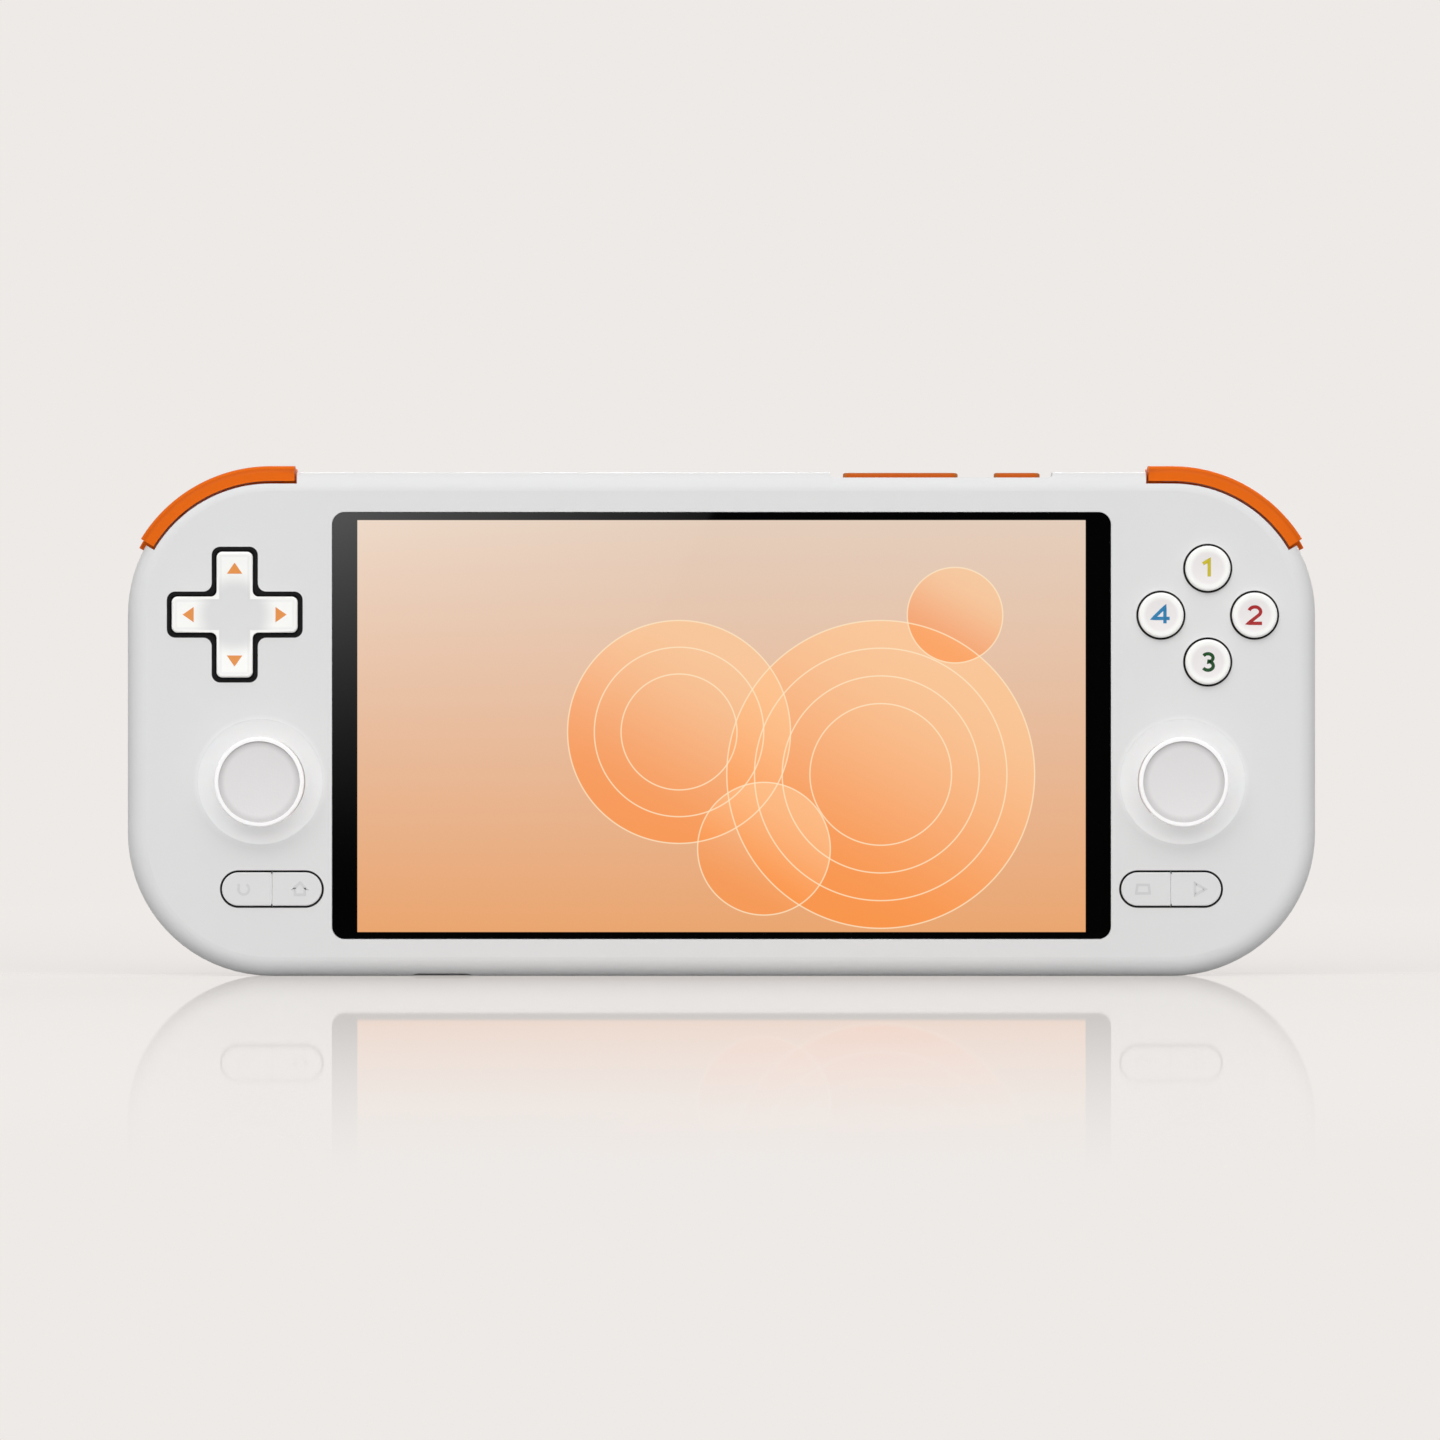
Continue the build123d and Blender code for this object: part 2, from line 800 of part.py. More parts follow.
with BuildPart() as rear_shell:
    with BuildSketch(facing(body_depth)):
        with Locations(body_centre):
            RectangleRounded(body_width, body_height, corner_radius)
    extrude(amount=body_depth - parting_depth)
    fillet(rear_shell.faces().sort_by(Axis.Y)[-1].edges(), rear_edge_round)
    for name, sign in sides:
        add(grip_swell(sign, 0))
    rear_plane = at_depth(body_depth)
    grip_feet = [
        edge
        for edge in rear_shell.edges()
        if abs(edge.bounding_box().min.Y - rear_plane) < running_gap
        and abs(edge.bounding_box().max.Y - rear_plane) < running_gap
        and grip_z - grip_height / 2 <= edge.center().Z <= grip_z + grip_height / 2
        and abs(abs(edge.center().X) - grip_x) <= grip_width / 2 + running_gap
    ]
    fillet(grip_feet, grip_blend)
    add(rear_cavity.part, mode=Mode.SUBTRACT)
    for name, sign in sides:
        add(
            shoulder_band(
                sign,
                trigger_pocket_radius,
                shoulder_reach,
                pocket_end,
                shoulder_inner_x - bumper_gap,
                0,
                body_depth + grip_rise + overrun,
            ),
            mode=Mode.SUBTRACT,
        )
        slot_half = trigger_lug_width / 2 + lug_room
        slot_x = (sign * (trigger_lug_x - slot_half), sign * (trigger_lug_x + slot_half))
        slot_z = (trigger_pin_z, shoulder_z + trigger_pocket_radius + overrun)
        add(span_block(slot_x, slot_z, 0, 0, trigger_slot_far), mode=Mode.SUBTRACT)
        lug_x = (sign * lug_slot_x, sign * shoulder_inner_x)
        lug_z = (bumper_lug_bottom_z - lug_room, bumper_lug_top_z + lug_room)
        add(span_block(lug_x, lug_z, 0, 0, bumper_lug_far + lug_room), mode=Mode.SUBTRACT)
    for place in shell_screw_places:
        add(disc(screw_shank_radius, 0, screw_seat_depth + overrun, place), mode=Mode.SUBTRACT)
        add(
            disc(counterbore_radius, screw_seat_depth, body_depth + grip_rise + overrun, place),
            mode=Mode.SUBTRACT,
        )
    add(
        span_block(
            (scallop_start_x, scallop_end_x),
            (body_height - scallop_depth, body_height + scallop_depth + overrun),
            scallop_round,
            0,
            body_depth + overrun,
        ),
        mode=Mode.SUBTRACT,
    )
    # Openings of the two side keys, and of the air outlet, through the top wall
    with BuildSketch(Plane.XY.offset(key_ledge_bottom_z - overrun)):
        with Locations((volume_x, at_depth(side_key_depth))):
            SlotOverall(volume_length + 2 * side_key_gap, side_key_width + 2 * side_key_gap)
        with Locations((power_x, at_depth(side_key_depth))):
            SlotOverall(power_length + 2 * side_key_gap, side_key_width + 2 * side_key_gap)
        outlet_middle = (sink_start_x + sink_end_x) / 2
        with Locations((outlet_middle, at_depth(outlet_slot_depth))):
            with GridLocations(outlet_slot_pitch, outlet_slot_length, outlet_slot_count, 1):
                SlotOverall(outlet_slot_length, outlet_slot_width, rotation=90)
    extrude(amount=body_height - key_ledge_bottom_z + 2 * overrun, mode=Mode.SUBTRACT)
    # Openings of the ports, and of the card recess, through the bottom wall
    with BuildSketch(Plane.XY.offset(-overrun)):
        with Locations((usb_x, at_depth(usb_depth))):
            SlotOverall(usb_opening_width, usb_opening_height)
        with Locations((jack_x, at_depth(jack_depth))):
            Circle(jack_opening_radius)
    extrude(amount=rear_wall + 2 * overrun, mode=Mode.SUBTRACT)
    with BuildSketch(Plane.XY.offset(-overrun)):
        with Locations((card_x, at_depth((card_recess_near + card_recess_far) / 2))):
            RectangleRounded(card_recess_width, card_recess_far - card_recess_near, card_recess_round)
    extrude(amount=overrun + card_recess_height, mode=Mode.SUBTRACT)
    with BuildSketch(Plane.XY.offset(-overrun)):
        with Locations([(sign * bottom_screw_x, at_depth(side_key_depth)) for name, sign in sides]):
            Circle(bottom_screw_head_radius)
    extrude(amount=overrun + bottom_screw_head_height, mode=Mode.SUBTRACT)
    with BuildSketch(Plane.XY.offset(-overrun)):
        with Locations([(sign * bottom_screw_x, at_depth(side_key_depth)) for name, sign in sides]):
            Circle(small_screw_radius)
    extrude(amount=overrun + bottom_screw_length, mode=Mode.SUBTRACT)
    # Air inlet over the fan, and the sound slots, through the rear wall
    vent_rows = int((vent_radius - vent_slot_width) // vent_slot_pitch)
    with BuildSketch(facing(body_depth + overrun)):
        for row in range(-vent_rows, vent_rows + 1):
            height = row * vent_slot_pitch
            half_chord = math.sqrt(vent_radius**2 - height**2)
            with Locations((fan_x, fan_z + height)):
                SlotOverall(2 * half_chord, vent_slot_width)
        for x in (speaker_left_x, speaker_right_x):
            with Locations((x, speaker_z)):
                with GridLocations(sound_slot_pitch, sound_slot_length, sound_slot_count, 1):
                    SlotOverall(sound_slot_length, sound_slot_width, rotation=90)
    extrude(amount=rear_wall + 2 * overrun, mode=Mode.SUBTRACT)
rear_shell.part.label = "rear_shell"
export_step(rear_shell.part, "parts/rear_shell.step")

# Screen
with BuildPart() as screen_glass:
    add(block(glass_width, glass_height, glass_corner, glass_recess, glass_far, glass_centre))
screen_glass.part.label = "screen_glass"
export_step(screen_glass.part, "parts/screen_glass.step")

with BuildPart() as glass_gasket:
    add(block(glass_width, glass_height, glass_corner, glass_far, window_ledge, glass_centre))
    add(
        block(window_width, window_height, panel_corner, 0, window_ledge + overrun, glass_centre),
        mode=Mode.SUBTRACT,
    )
glass_gasket.part.label = "glass_gasket"
export_step(glass_gasket.part, "parts/glass_gasket.step")

with BuildPart() as display_panel:
    add(block(panel_width, panel_height, panel_corner, glass_far, panel_far, glass_centre))
display_panel.part.label = "display_panel"
export_step(display_panel.part, "parts/display_panel.step")

with BuildPart() as mid_frame:
    add(block(frame_width, frame_height, frame_corner, panel_far, frame_far, glass_centre))
    for place in main_board_posts:
        add(disc(post_radius, frame_far, main_board_depth, place))
        add(disc(post_hole_radius, panel_far - overrun, main_board_far, place), mode=Mode.SUBTRACT)
mid_frame.part.label = "mid_frame"
export_step(mid_frame.part, "parts/mid_frame.step")

# Direction pad, its black surround, its pivot and its membrane
dpad_flange_far = dpad_flange_depth + dpad_flange_thickness
dish_radius = ((dpad_span / 2) ** 2 + dpad_dish_depth**2) / (2 * dpad_dish_depth)
with BuildPart() as dpad:
    add(cross(dpad_span, dpad_arm, dpad_round, -dpad_rise, dpad_flange_far, dpad_place))
    fillet(dpad.faces().sort_by(Axis.Y)[0].edges(), face_button_round)
    with Locations((-dpad_x, at_depth(dpad_dish_depth - dpad_rise) - dish_radius, dpad_z)):
        Sphere(dish_radius, mode=Mode.SUBTRACT)
    add(disc(dpad_flange_radius, dpad_flange_depth, dpad_flange_far, dpad_place))
dpad.part.label = "dpad"
export_step(dpad.part, "parts/dpad.step")

with BuildPart() as dpad_bezel:
    add(
        cross(dpad_opening_span, dpad_opening_arm, dpad_opening_round, glass_recess, front_wall, dpad_place)
    )
    inner_span = dpad_span + 2 * dpad_gap
    inner_arm = dpad_arm + 2 * dpad_gap
    add(cross(inner_span, inner_arm, dpad_round, 0, front_wall + overrun, dpad_place), mode=Mode.SUBTRACT)
dpad_bezel.part.label = "dpad_bezel"
export_step(dpad_bezel.part, "parts/dpad_bezel.step")

pivot_near = dpad_flange_far + pivot_gap
with BuildPart() as dpad_pivot:
    add(disc(pivot_radius, pivot_near, pivot_near + pivot_thickness, dpad_place))
    fillet(dpad_pivot.faces().sort_by(Axis.Y)[-1].edges(), dpad_flange_thickness)
dpad_pivot.part.label = "dpad_pivot"
export_step(dpad_pivot.part, "parts/dpad_pivot.step")

membrane_near = board_depth - membrane_thickness
dome_offset = dpad_span / 2 - dome_radius
with BuildPart() as dpad_membrane:
    add(disc(dpad_flange_radius, membrane_near, board_depth, dpad_place))
    for x, z in ((dome_offset, 0), (-dome_offset, 0), (0, dome_offset), (0, -dome_offset)):
        dome_place = (x - dpad_x, dpad_z + z)
        add(turned(
            [
                (0, dpad_flange_far + membrane_touch),
                (dome_top_radius, dpad_flange_far + membrane_touch),
                (dome_radius, membrane_near + membrane_touch),
                (0, membrane_near + membrane_touch),
            ],
            dome_place,
        ))
dpad_membrane.part.label = "dpad_membrane"
export_step(dpad_membrane.part, "parts/dpad_membrane.step")

# Face buttons, counted clockwise from the top, and their membrane
face_flange_near = front_wall + seat_gap
face_flange_far = face_flange_near + face_flange_thickness
face_stem_far = face_flange_far + face_stem_length
face_sphere = (face_dish_radius**2 + face_dish_depth**2) / (2 * face_dish_depth)
for number, place in enumerate(face_places, 1):
    with BuildPart() as face_button:
        add(disc(face_button_radius, -face_button_rise, face_flange_far, place))
        fillet(face_button.faces().sort_by(Axis.Y)[0].edges(), face_button_round)
        with Locations((place[0], at_depth(face_dish_depth - face_button_rise) - face_sphere, place[1])):
            Sphere(face_sphere, mode=Mode.SUBTRACT)
        add(disc(face_flange_radius, face_flange_near, face_flange_far, place))
        add(disc(face_stem_radius, face_flange_far, face_stem_far, place))
    face_button.part.label = f"face_button_{number}"
    export_step(face_button.part, f"parts/face_button_{number}.step")

with BuildPart() as face_button_membrane:
    add(disc(face_offset + face_hole_radius, membrane_near, board_depth, (face_x, face_z)))
    for place in face_places:
        add(turned(
            [
                (0, face_stem_far + membrane_touch),
                (dome_top_radius, face_stem_far + membrane_touch),
                (dome_radius, membrane_near + membrane_touch),
                (0, membrane_near + membrane_touch),
            ],
            place,
        ))
face_button_membrane.part.label = "face_button_membrane"
export_step(face_button_membrane.part, "parts/face_button_membrane.step")

# Menu buttons: each is half a pill, on its own half of a rubber membrane
menu_flange_near = front_wall + seat_gap
menu_flange_far = menu_flange_near + menu_flange_thickness
menu_stem_far = menu_flange_far + menu_stem_length
menu_width = menu_hole_width - 2 * menu_gap
menu_height = menu_hole_height - 2 * menu_gap
menu_flange_width = menu_hole_width + 2 * menu_flange
menu_flange_height = menu_hole_height + 2 * menu_flange
menu_names = (("back", "left", -1), ("home", "left", 1), ("tasks", "right", -1), ("play", "right", 1))
for name, side, half in menu_names:
    pill_x, pill_z = menu_places[side]
    half_span = (pill_x + half * menu_split / 2, pill_x + half * menu_flange_width)
    stem_place = (pill_x + half * menu_width / 4, pill_z)
    with BuildPart() as menu_button:
        add(pill(menu_width, menu_height, -menu_rise, menu_flange_far, menu_places[side]))
        fillet(menu_button.faces().sort_by(Axis.Y)[0].edges(), menu_round)
        add(
            pill(
                menu_flange_width, menu_flange_height, menu_flange_near, menu_flange_far, menu_places[side]
            )
        )
        add(block(menu_stem_width, menu_stem_width, 0, menu_flange_far, menu_stem_far, stem_place))
        add(
            span_block(half_span, (0, 2 * menu_z), 0, -stick_rise, board_depth),
            mode=Mode.INTERSECT,
        )
    menu_button.part.label = f"menu_button_{name}"
    export_step(menu_button.part, f"parts/menu_button_{name}.step")

with BuildPart() as menu_membranes:
    for name, side, half in menu_names:
        pill_x, pill_z = menu_places[side]
        add(pill(menu_flange_width, menu_flange_height, membrane_near, board_depth, menu_places[side]))
        stem_place = (pill_x + half * menu_width / 4, pill_z)
        add(disc(dome_top_radius, menu_stem_far + membrane_touch, board_depth, stem_place))
menu_membranes.part.label = "menu_membranes"
export_step(menu_membranes.part, "parts/menu_membranes.step")

# Control boards behind the keys of each side
for side, sign in sides:
    with BuildPart() as control_board:
        with BuildSketch(facing(board_far)) as board_outline:
            with Locations((sign * (board_inner_x + board_outer_x) / 2, (board_bottom_z + board_top_z) / 2)):
                Rectangle(board_outer_x - board_inner_x, board_top_z - board_bottom_z)
            tab_middle_z = (board_tab_bottom_z + board_tab_top_z) / 2
            with Locations((sign * (board_inner_x + board_tab_outer_x) / 2, tab_middle_z)):
                Rectangle(board_tab_outer_x - board_inner_x, board_tab_top_z - board_tab_bottom_z)
            fillet(board_outline.vertices(), board_corner)
        extrude(amount=board_thickness)
        add(disc(board_stick_hole, 0, body_depth, stick_places[side]), mode=Mode.SUBTRACT)
        screw_hole = disc(boss_radius + lug_room, 0, body_depth, (sign * grip_screw_x, grip_screw_z))
        add(screw_hole, mode=Mode.SUBTRACT)
        for place in board_posts:
            if place[0] * sign > 0:
                add(disc(post_hole_radius, 0, body_depth, place), mode=Mode.SUBTRACT)
    control_board.part.label = f"{side}_control_board"
    export_step(control_board.part, f"parts/{side}_control_board.step")

# Thumb sticks: well ring, base with its ears, gimbal ring, shaft, cap with its skirt, rubber grip
well_far = well_lip_depth + well_lip_thickness
cap_under = stick_cap_thickness - stick_rise
grip_floor = stick_grip_recess + stick_grip_thickness - stick_rise
socket_top = stick_shaft_top_depth - stick_click_room
skirt_inner = stick_skirt_radius - stick_skirt_wall
socket_radius = stick_shaft_radius + running_gap
neck_angle = math.degrees(math.asin(stick_neck_radius / stick_skirt_radius))
boss_angle = math.degrees(math.asin(stick_boss_radius / skirt_inner))
grip_sphere = (stick_grip_radius**2 + stick_grip_dish**2) / (2 * stick_grip_dish)
pivot_y = at_depth(stick_pivot_depth)
for side, sign in sides:
    centre = stick_places[side]
    x, z = centre

    with BuildPart() as light_ring:
        add(turned(
            [
                (well_radius, 0),
                (well_lip_radius, well_lip_depth),
                (well_lip_radius, well_far),
                (well_ledge_radius, well_far),
                (well_ledge_radius, well_flange_thickness),
                (well_radius, well_flange_thickness),
            ],
            centre,
        ))
    light_ring.part.label = f"{side}_light_ring"
    export_step(light_ring.part, f"parts/{side}_light_ring.step")

    with BuildPart() as stick_base:
        base_far = stick_base_depth + stick_base_thickness
        add(block(stick_base_size, stick_base_size, stick_base_corner, stick_base_depth, base_far, centre))
        for end in (-1, 1):
            ear_x = (x + end * stick_ear_inner, x + end * stick_ear_outer)
            ear_z = (z - stick_ear_width / 2, z + stick_ear_width / 2)
            ear_near = stick_pivot_depth - stick_ear_rise
            add(span_block(ear_x, ear_z, 0, ear_near, stick_base_depth))
        for place in ((1, 1), (1, -1), (-1, 1), (-1, -1)):
            post_place = (x + place[0] * stick_post_offset, z + place[1] * stick_post_offset)
            add(disc(stick_post_radius, board_far, stick_base_depth, post_place))
        with BuildSketch(Plane.YZ.offset(x - stick_base_size / 2)):
            with Locations((pivot_y, z)):
                Circle(gimbal_pin_radius + running_gap)
        extrude(amount=stick_base_size, mode=Mode.SUBTRACT)
    stick_base.part.label = f"{side}_stick_base"
    export_step(stick_base.part, f"parts/{side}_stick_base.step")

    with BuildPart() as stick_gimbal:
        near = stick_pivot_depth - gimbal_thickness / 2
        far = stick_pivot_depth + gimbal_thickness / 2
        add(block(2 * gimbal_half, 2 * gimbal_half, gimbal_half / 2, near, far, centre))
        with BuildSketch(Plane.YZ.offset(x - stick_ear_outer + running_gap)):
            with Locations((pivot_y, z)):
                Circle(gimbal_pin_radius)
        extrude(amount=2 * (stick_ear_outer - running_gap))
        add(
            block(
                2 * gimbal_inner_half,
                2 * gimbal_inner_half,
                gimbal_half / 4,
                near - overrun,
                far + overrun,
                centre,
            ),
            mode=Mode.SUBTRACT,
        )
        with BuildSketch(Plane.XY.offset(z - gimbal_half - overrun)):
            with Locations((x, pivot_y)):
                Circle(gimbal_pin_radius + running_gap)
        extrude(amount=2 * (gimbal_half + overrun), mode=Mode.SUBTRACT)
    stick_gimbal.part.label = f"{side}_stick_gimbal"
    export_step(stick_gimbal.part, f"parts/{side}_stick_gimbal.step")

    with BuildPart() as stick_shaft:
        half_block = stick_block_length / 2
        add(disc(stick_shaft_radius, stick_shaft_top_depth, stick_pivot_depth, centre))
        add(
            disc(
                stick_block_radius,
                stick_pivot_depth - half_block,
                stick_pivot_depth + half_block,
                centre,
            )
        )
        with BuildSketch(Plane.XY.offset(z - gimbal_half + running_gap)):
            with Locations((x, pivot_y)):
                Circle(gimbal_pin_radius)
        extrude(amount=2 * (gimbal_half - running_gap))
    stick_shaft.part.label = f"{side}_stick_shaft"
    export_step(stick_shaft.part, f"parts/{side}_stick_shaft.step")

    with BuildPart() as stick_cap:
        with BuildSketch(Plane.XY.offset(z)):
            with BuildLine():
                hub = (x, pivot_y)
                skirt = CenterArc(
                    hub, stick_skirt_radius, neck_angle - 90, stick_skirt_angle - neck_angle
                )
                lining = CenterArc(hub, skirt_inner, boss_angle - 90, stick_skirt_angle - boss_angle)
                Line(skirt @ 1, lining @ 1)
                Polyline(
                    skirt @ 0,
                    (x + stick_neck_radius, at_depth(cap_under)),
                    (x + stick_cap_radius, at_depth(cap_under)),
                    (x + stick_cap_radius, at_depth(-stick_rise)),
                    (x + stick_grip_radius, at_depth(-stick_rise)),
                    (x + stick_grip_radius, at_depth(grip_floor)),
                    (x, at_depth(grip_floor)),
                    (x, at_depth(socket_top)),
                    (x + socket_radius, at_depth(socket_top)),
                    (x + socket_radius, at_depth(stick_boss_end_depth)),
                    (x + stick_boss_radius, at_depth(stick_boss_end_depth)),
                    lining @ 0,
                )
            make_face()
        revolve(axis=Axis((x, 0, z), (0, 1, 0)))
        rim = stick_cap.edges().filter_by(GeomType.CIRCLE).filter_by(
            lambda edge: abs(edge.radius - stick_cap_radius) < running_gap
        )
        fillet(rim, stick_cap_round)
    stick_cap.part.label = f"{side}_stick_cap"
    export_step(stick_cap.part, f"parts/{side}_stick_cap.step")

    with BuildPart() as stick_grip:
        add(disc(stick_grip_radius, stick_grip_recess - stick_rise, grip_floor, centre))
        with Locations((x, at_depth(stick_grip_recess + stick_grip_dish - stick_rise) - grip_sphere, z)):
            Sphere(grip_sphere, mode=Mode.SUBTRACT)
    stick_grip.part.label = f"{side}_stick_grip"
    export_step(stick_grip.part, f"parts/{side}_stick_grip.step")

# Shoulder keys of each side: bumper, trigger with its bracket, pin and spring
for side, sign in sides:
    with BuildPart() as bumper:
        add(
            shoulder_band(
                sign,
                bumper_inner_radius,
                bumper_outer_radius,
                bumper_end_angle,
                shoulder_inner_x,
                bumper_near_depth,
                bumper_far_depth,
            )
        )
        front_edges = bumper.faces().sort_by(Axis.Y)[0].edges()
        middle_radius = (bumper_inner_radius + bumper_outer_radius) / 2
        outer_edges = [
            edge
            for edge in front_edges
            if math.hypot(
                max(sign * (edge @ 0.5).X - shoulder_x, 0), (edge @ 0.5).Z - shoulder_z
            )
            > middle_radius + bumper_small_round
        ]
        fillet(outer_edges, bumper_round)
        tip_x = (sign * bumper_lug_tip_x, sign * bumper_lug_root_x)
        root_x = (sign * shoulder_inner_x, sign * bumper_lug_root_x)
        add(span_block(tip_x, (bumper_lug_bottom_z, bumper_lug_top_z), 0, bumper_lug_near, bumper_lug_far))
        add(span_block(root_x, (bumper_lug_bottom_z, bumper_lug_root_z), 0, bumper_lug_near, bumper_lug_far))
        pin_place = (sign * bumper_pin_x, bumper_pin_z)
        add(disc(bumper_pin_radius + running_gap, 0, body_depth, pin_place), mode=Mode.SUBTRACT)
    bumper.part.label = f"{side}_bumper"
    export_step(bumper.part, f"parts/{side}_bumper.step")

    with BuildPart() as trigger:
        near_y = at_depth(trigger_near_depth)
        far_y = at_depth(trigger_far_depth)
        with BuildSketch(Plane.YZ.offset(sign * shoulder_x)) as section:
            with BuildLine():
                top = ThreePointArc(
                    (near_y, shoulder_z + trigger_outer_radius),
                    ((near_y + far_y) / 2, shoulder_z + trigger_waist_radius),
                    (far_y, shoulder_z + trigger_outer_radius),
                )
                Polyline(
                    top @ 1,
                    (far_y, shoulder_z + trigger_heel_radius),
                    (near_y, shoulder_z + trigger_inner_radius),
                    top @ 0,
                )
            make_face()
            fillet(section.vertices().sort_by(Axis.Y)[-2:], trigger_small_round)
            heel = section.vertices().group_by(Axis.X)[-1].sort_by(Axis.Y)[0]
            fillet(heel, trigger_small_round)
        revolve(
            axis=Axis((sign * shoulder_x, 0, shoulder_z), (0, sign, 0)),
            revolution_arc=90 - trigger_end_angle,
        )
        extrude(section.sketch, amount=-sign * (shoulder_x - shoulder_inner_x))
        with BuildSketch(Plane.YZ.offset(sign * trigger_lug_x - trigger_lug_width / 2)):
            pin_y = at_depth(trigger_pin_depth)
            with Locations((pin_y, trigger_pin_z)):
                Circle(trigger_lug_radius)
            with BuildLine():
                Polyline(
                    (pin_y - trigger_lug_radius, trigger_pin_z),
                    (near_y + running_gap, shoulder_z + trigger_inner_radius + trigger_small_round),
                    (at_depth(trigger_lug_far), shoulder_z + trigger_inner_radius + trigger_small_round),
                    (pin_y + trigger_lug_radius, trigger_pin_z),
                    close=True,
                )
            make_face()
            with Locations((pin_y, trigger_pin_z)):
                Circle(trigger_pin_radius + running_gap, mode=Mode.SUBTRACT)
        extrude(amount=trigger_lug_width)
    trigger.part.label = f"{side}_trigger"
    export_step(trigger.part, f"parts/{side}_trigger.step")

    with BuildPart() as trigger_bracket:
        cheeks = (
            (bracket_inner_x - bracket_cheek, bracket_inner_x),
            (bracket_outer_x, bracket_outer_x + bracket_cheek),
        )
        cheek_z = (bracket_bottom_z, bracket_top_z)
        for low, high in cheeks:
            add(span_block((sign * low, sign * high), cheek_z, 0, bracket_near, cavity_depth))
        back_x = (sign * (bracket_inner_x - bracket_cheek), sign * (bracket_outer_x + bracket_cheek))
        back_near = cavity_depth - bracket_back
        add(span_block(back_x, (bracket_bottom_z, trigger_pin_z), 0, back_near, cavity_depth))
        with BuildSketch(Plane.YZ.offset(sign * shoulder_x - stick_base_size / 2)):
            with Locations((at_depth(trigger_pin_depth), trigger_pin_z)):
                Circle(trigger_pin_radius)
        extrude(amount=stick_base_size, mode=Mode.SUBTRACT)
    trigger_bracket.part.label = f"{side}_trigger_bracket"
    export_step(trigger_bracket.part, f"parts/{side}_trigger_bracket.step")

    with BuildPart() as trigger_spring:
        spring_x = sign * (bracket_outer_x - seat_gap - spring_width / 2) - spring_width / 2
        with BuildSketch(Plane.YZ.offset(spring_x)):
            with Locations((at_depth(trigger_pin_depth), trigger_pin_z)):
                Circle(spring_outer_radius)
        extrude(amount=spring_width)
        leg_x = sign * (bracket_outer_x - seat_gap)
        leg_z = (trigger_pin_z - spring_outer_radius, trigger_pin_z - spring_outer_radius + spring_wire)
        add(
            span_block(
                (leg_x - sign * spring_wire, leg_x),
                leg_z,
                0,
                trigger_pin_depth,
                cavity_depth - bracket_back,
            )
        )
        with BuildSketch(Plane.YZ.offset(spring_x - overrun)):
            with Locations((at_depth(trigger_pin_depth), trigger_pin_z)):
                Circle(spring_inner_radius)
        extrude(amount=spring_width + 2 * overrun, mode=Mode.SUBTRACT)
    trigger_spring.part.label = f"{side}_trigger_spring"
    export_step(trigger_spring.part, f"parts/{side}_trigger_spring.step")

with BuildPart() as trigger_pins:
    for side, sign in sides:
        pin_start = min(sign * (bracket_inner_x - bracket_cheek), sign * (bracket_outer_x + bracket_cheek))
        with BuildSketch(Plane.YZ.offset(pin_start)):
            with Locations((at_depth(trigger_pin_depth), trigger_pin_z)):
                Circle(trigger_pin_radius)
        extrude(amount=bracket_outer_x - bracket_inner_x + 2 * bracket_cheek)
trigger_pins.part.label = "trigger_pins"
export_step(trigger_pins.part, "parts/trigger_pins.step")

# Side keys on the top edge, the small board under them, and the tact switches
key_top = body_height - side_key_top_gap
key_flange_top = key_ledge_bottom_z - key_flange_gap
key_flange_bottom = key_flange_top - key_flange_thickness
for name, x, length in (("volume_rocker", volume_x, volume_length), ("power_button", power_x, power_length)):
    with BuildPart() as side_key:
        with BuildSketch(Plane.XY.offset(key_flange_top)):
            with Locations((x, at_depth(side_key_depth))):
                SlotOverall(length, side_key_width)
        extrude(amount=key_top - key_flange_top)
        fillet(side_key.faces().sort_by(Axis.Z)[-1].edges(), bumper_small_round)
        with BuildSketch(Plane.XY.offset(key_flange_bottom)):
            with Locations((x, at_depth(side_key_depth))):
                SlotOverall(length + 2 * key_flange_overhang, side_key_width + 2 * key_flange_overhang)
        extrude(amount=key_flange_thickness)
    side_key.part.label = name
    export_step(side_key.part, f"parts/{name}.step")

with BuildPart() as side_key_board:
    add(
        span_block(
            (key_board_start_x, key_board_end_x),
            (key_board_top_z - key_board_thickness, key_board_top_z),
            0,
            side_key_depth - side_key_width / 2,
            key_board_far,
        )
    )
side_key_board.part.label = "side_key_board"
export_step(side_key_board.part, "parts/side_key_board.step")

switch_depth = bumper_far_depth - overrun
with BuildPart() as tact_switches:
    for x in (volume_x - volume_length / 3, volume_x + volume_length / 3, power_x):
        with BuildSketch(Plane.XY.offset(key_board_top_z)):
            with Locations((x, at_depth(side_key_depth))):
                Rectangle(switch_length, switch_width)
        extrude(amount=switch_height)
        with BuildSketch(Plane.XY.offset(key_board_top_z)):
            with Locations((x, at_depth(side_key_depth))):
                Circle(plunger_radius)
        extrude(amount=key_flange_bottom - plunger_gap - key_board_top_z)
    for side, sign in sides:
        out_x = sign * math.cos(math.radians(switch_angle))
        out_z = math.sin(math.radians(switch_angle))
        foot = Plane(
            origin=(
                sign * shoulder_x + trigger_pocket_radius * out_x,
                at_depth(switch_depth),
                shoulder_z + trigger_pocket_radius * out_z,
            ),
            x_dir=(0, 1, 0),
            z_dir=(out_x, 0, out_z),
        )
        with BuildSketch(foot):
            Rectangle(switch_width, switch_length)
        extrude(amount=switch_height)
        with BuildSketch(foot):
            Circle(plunger_radius)
        extrude(amount=bumper_inner_radius - bumper_gap - seat_gap - trigger_pocket_radius)
tact_switches.part.label = "tact_switches"
export_step(tact_switches.part, "parts/tact_switches.step")

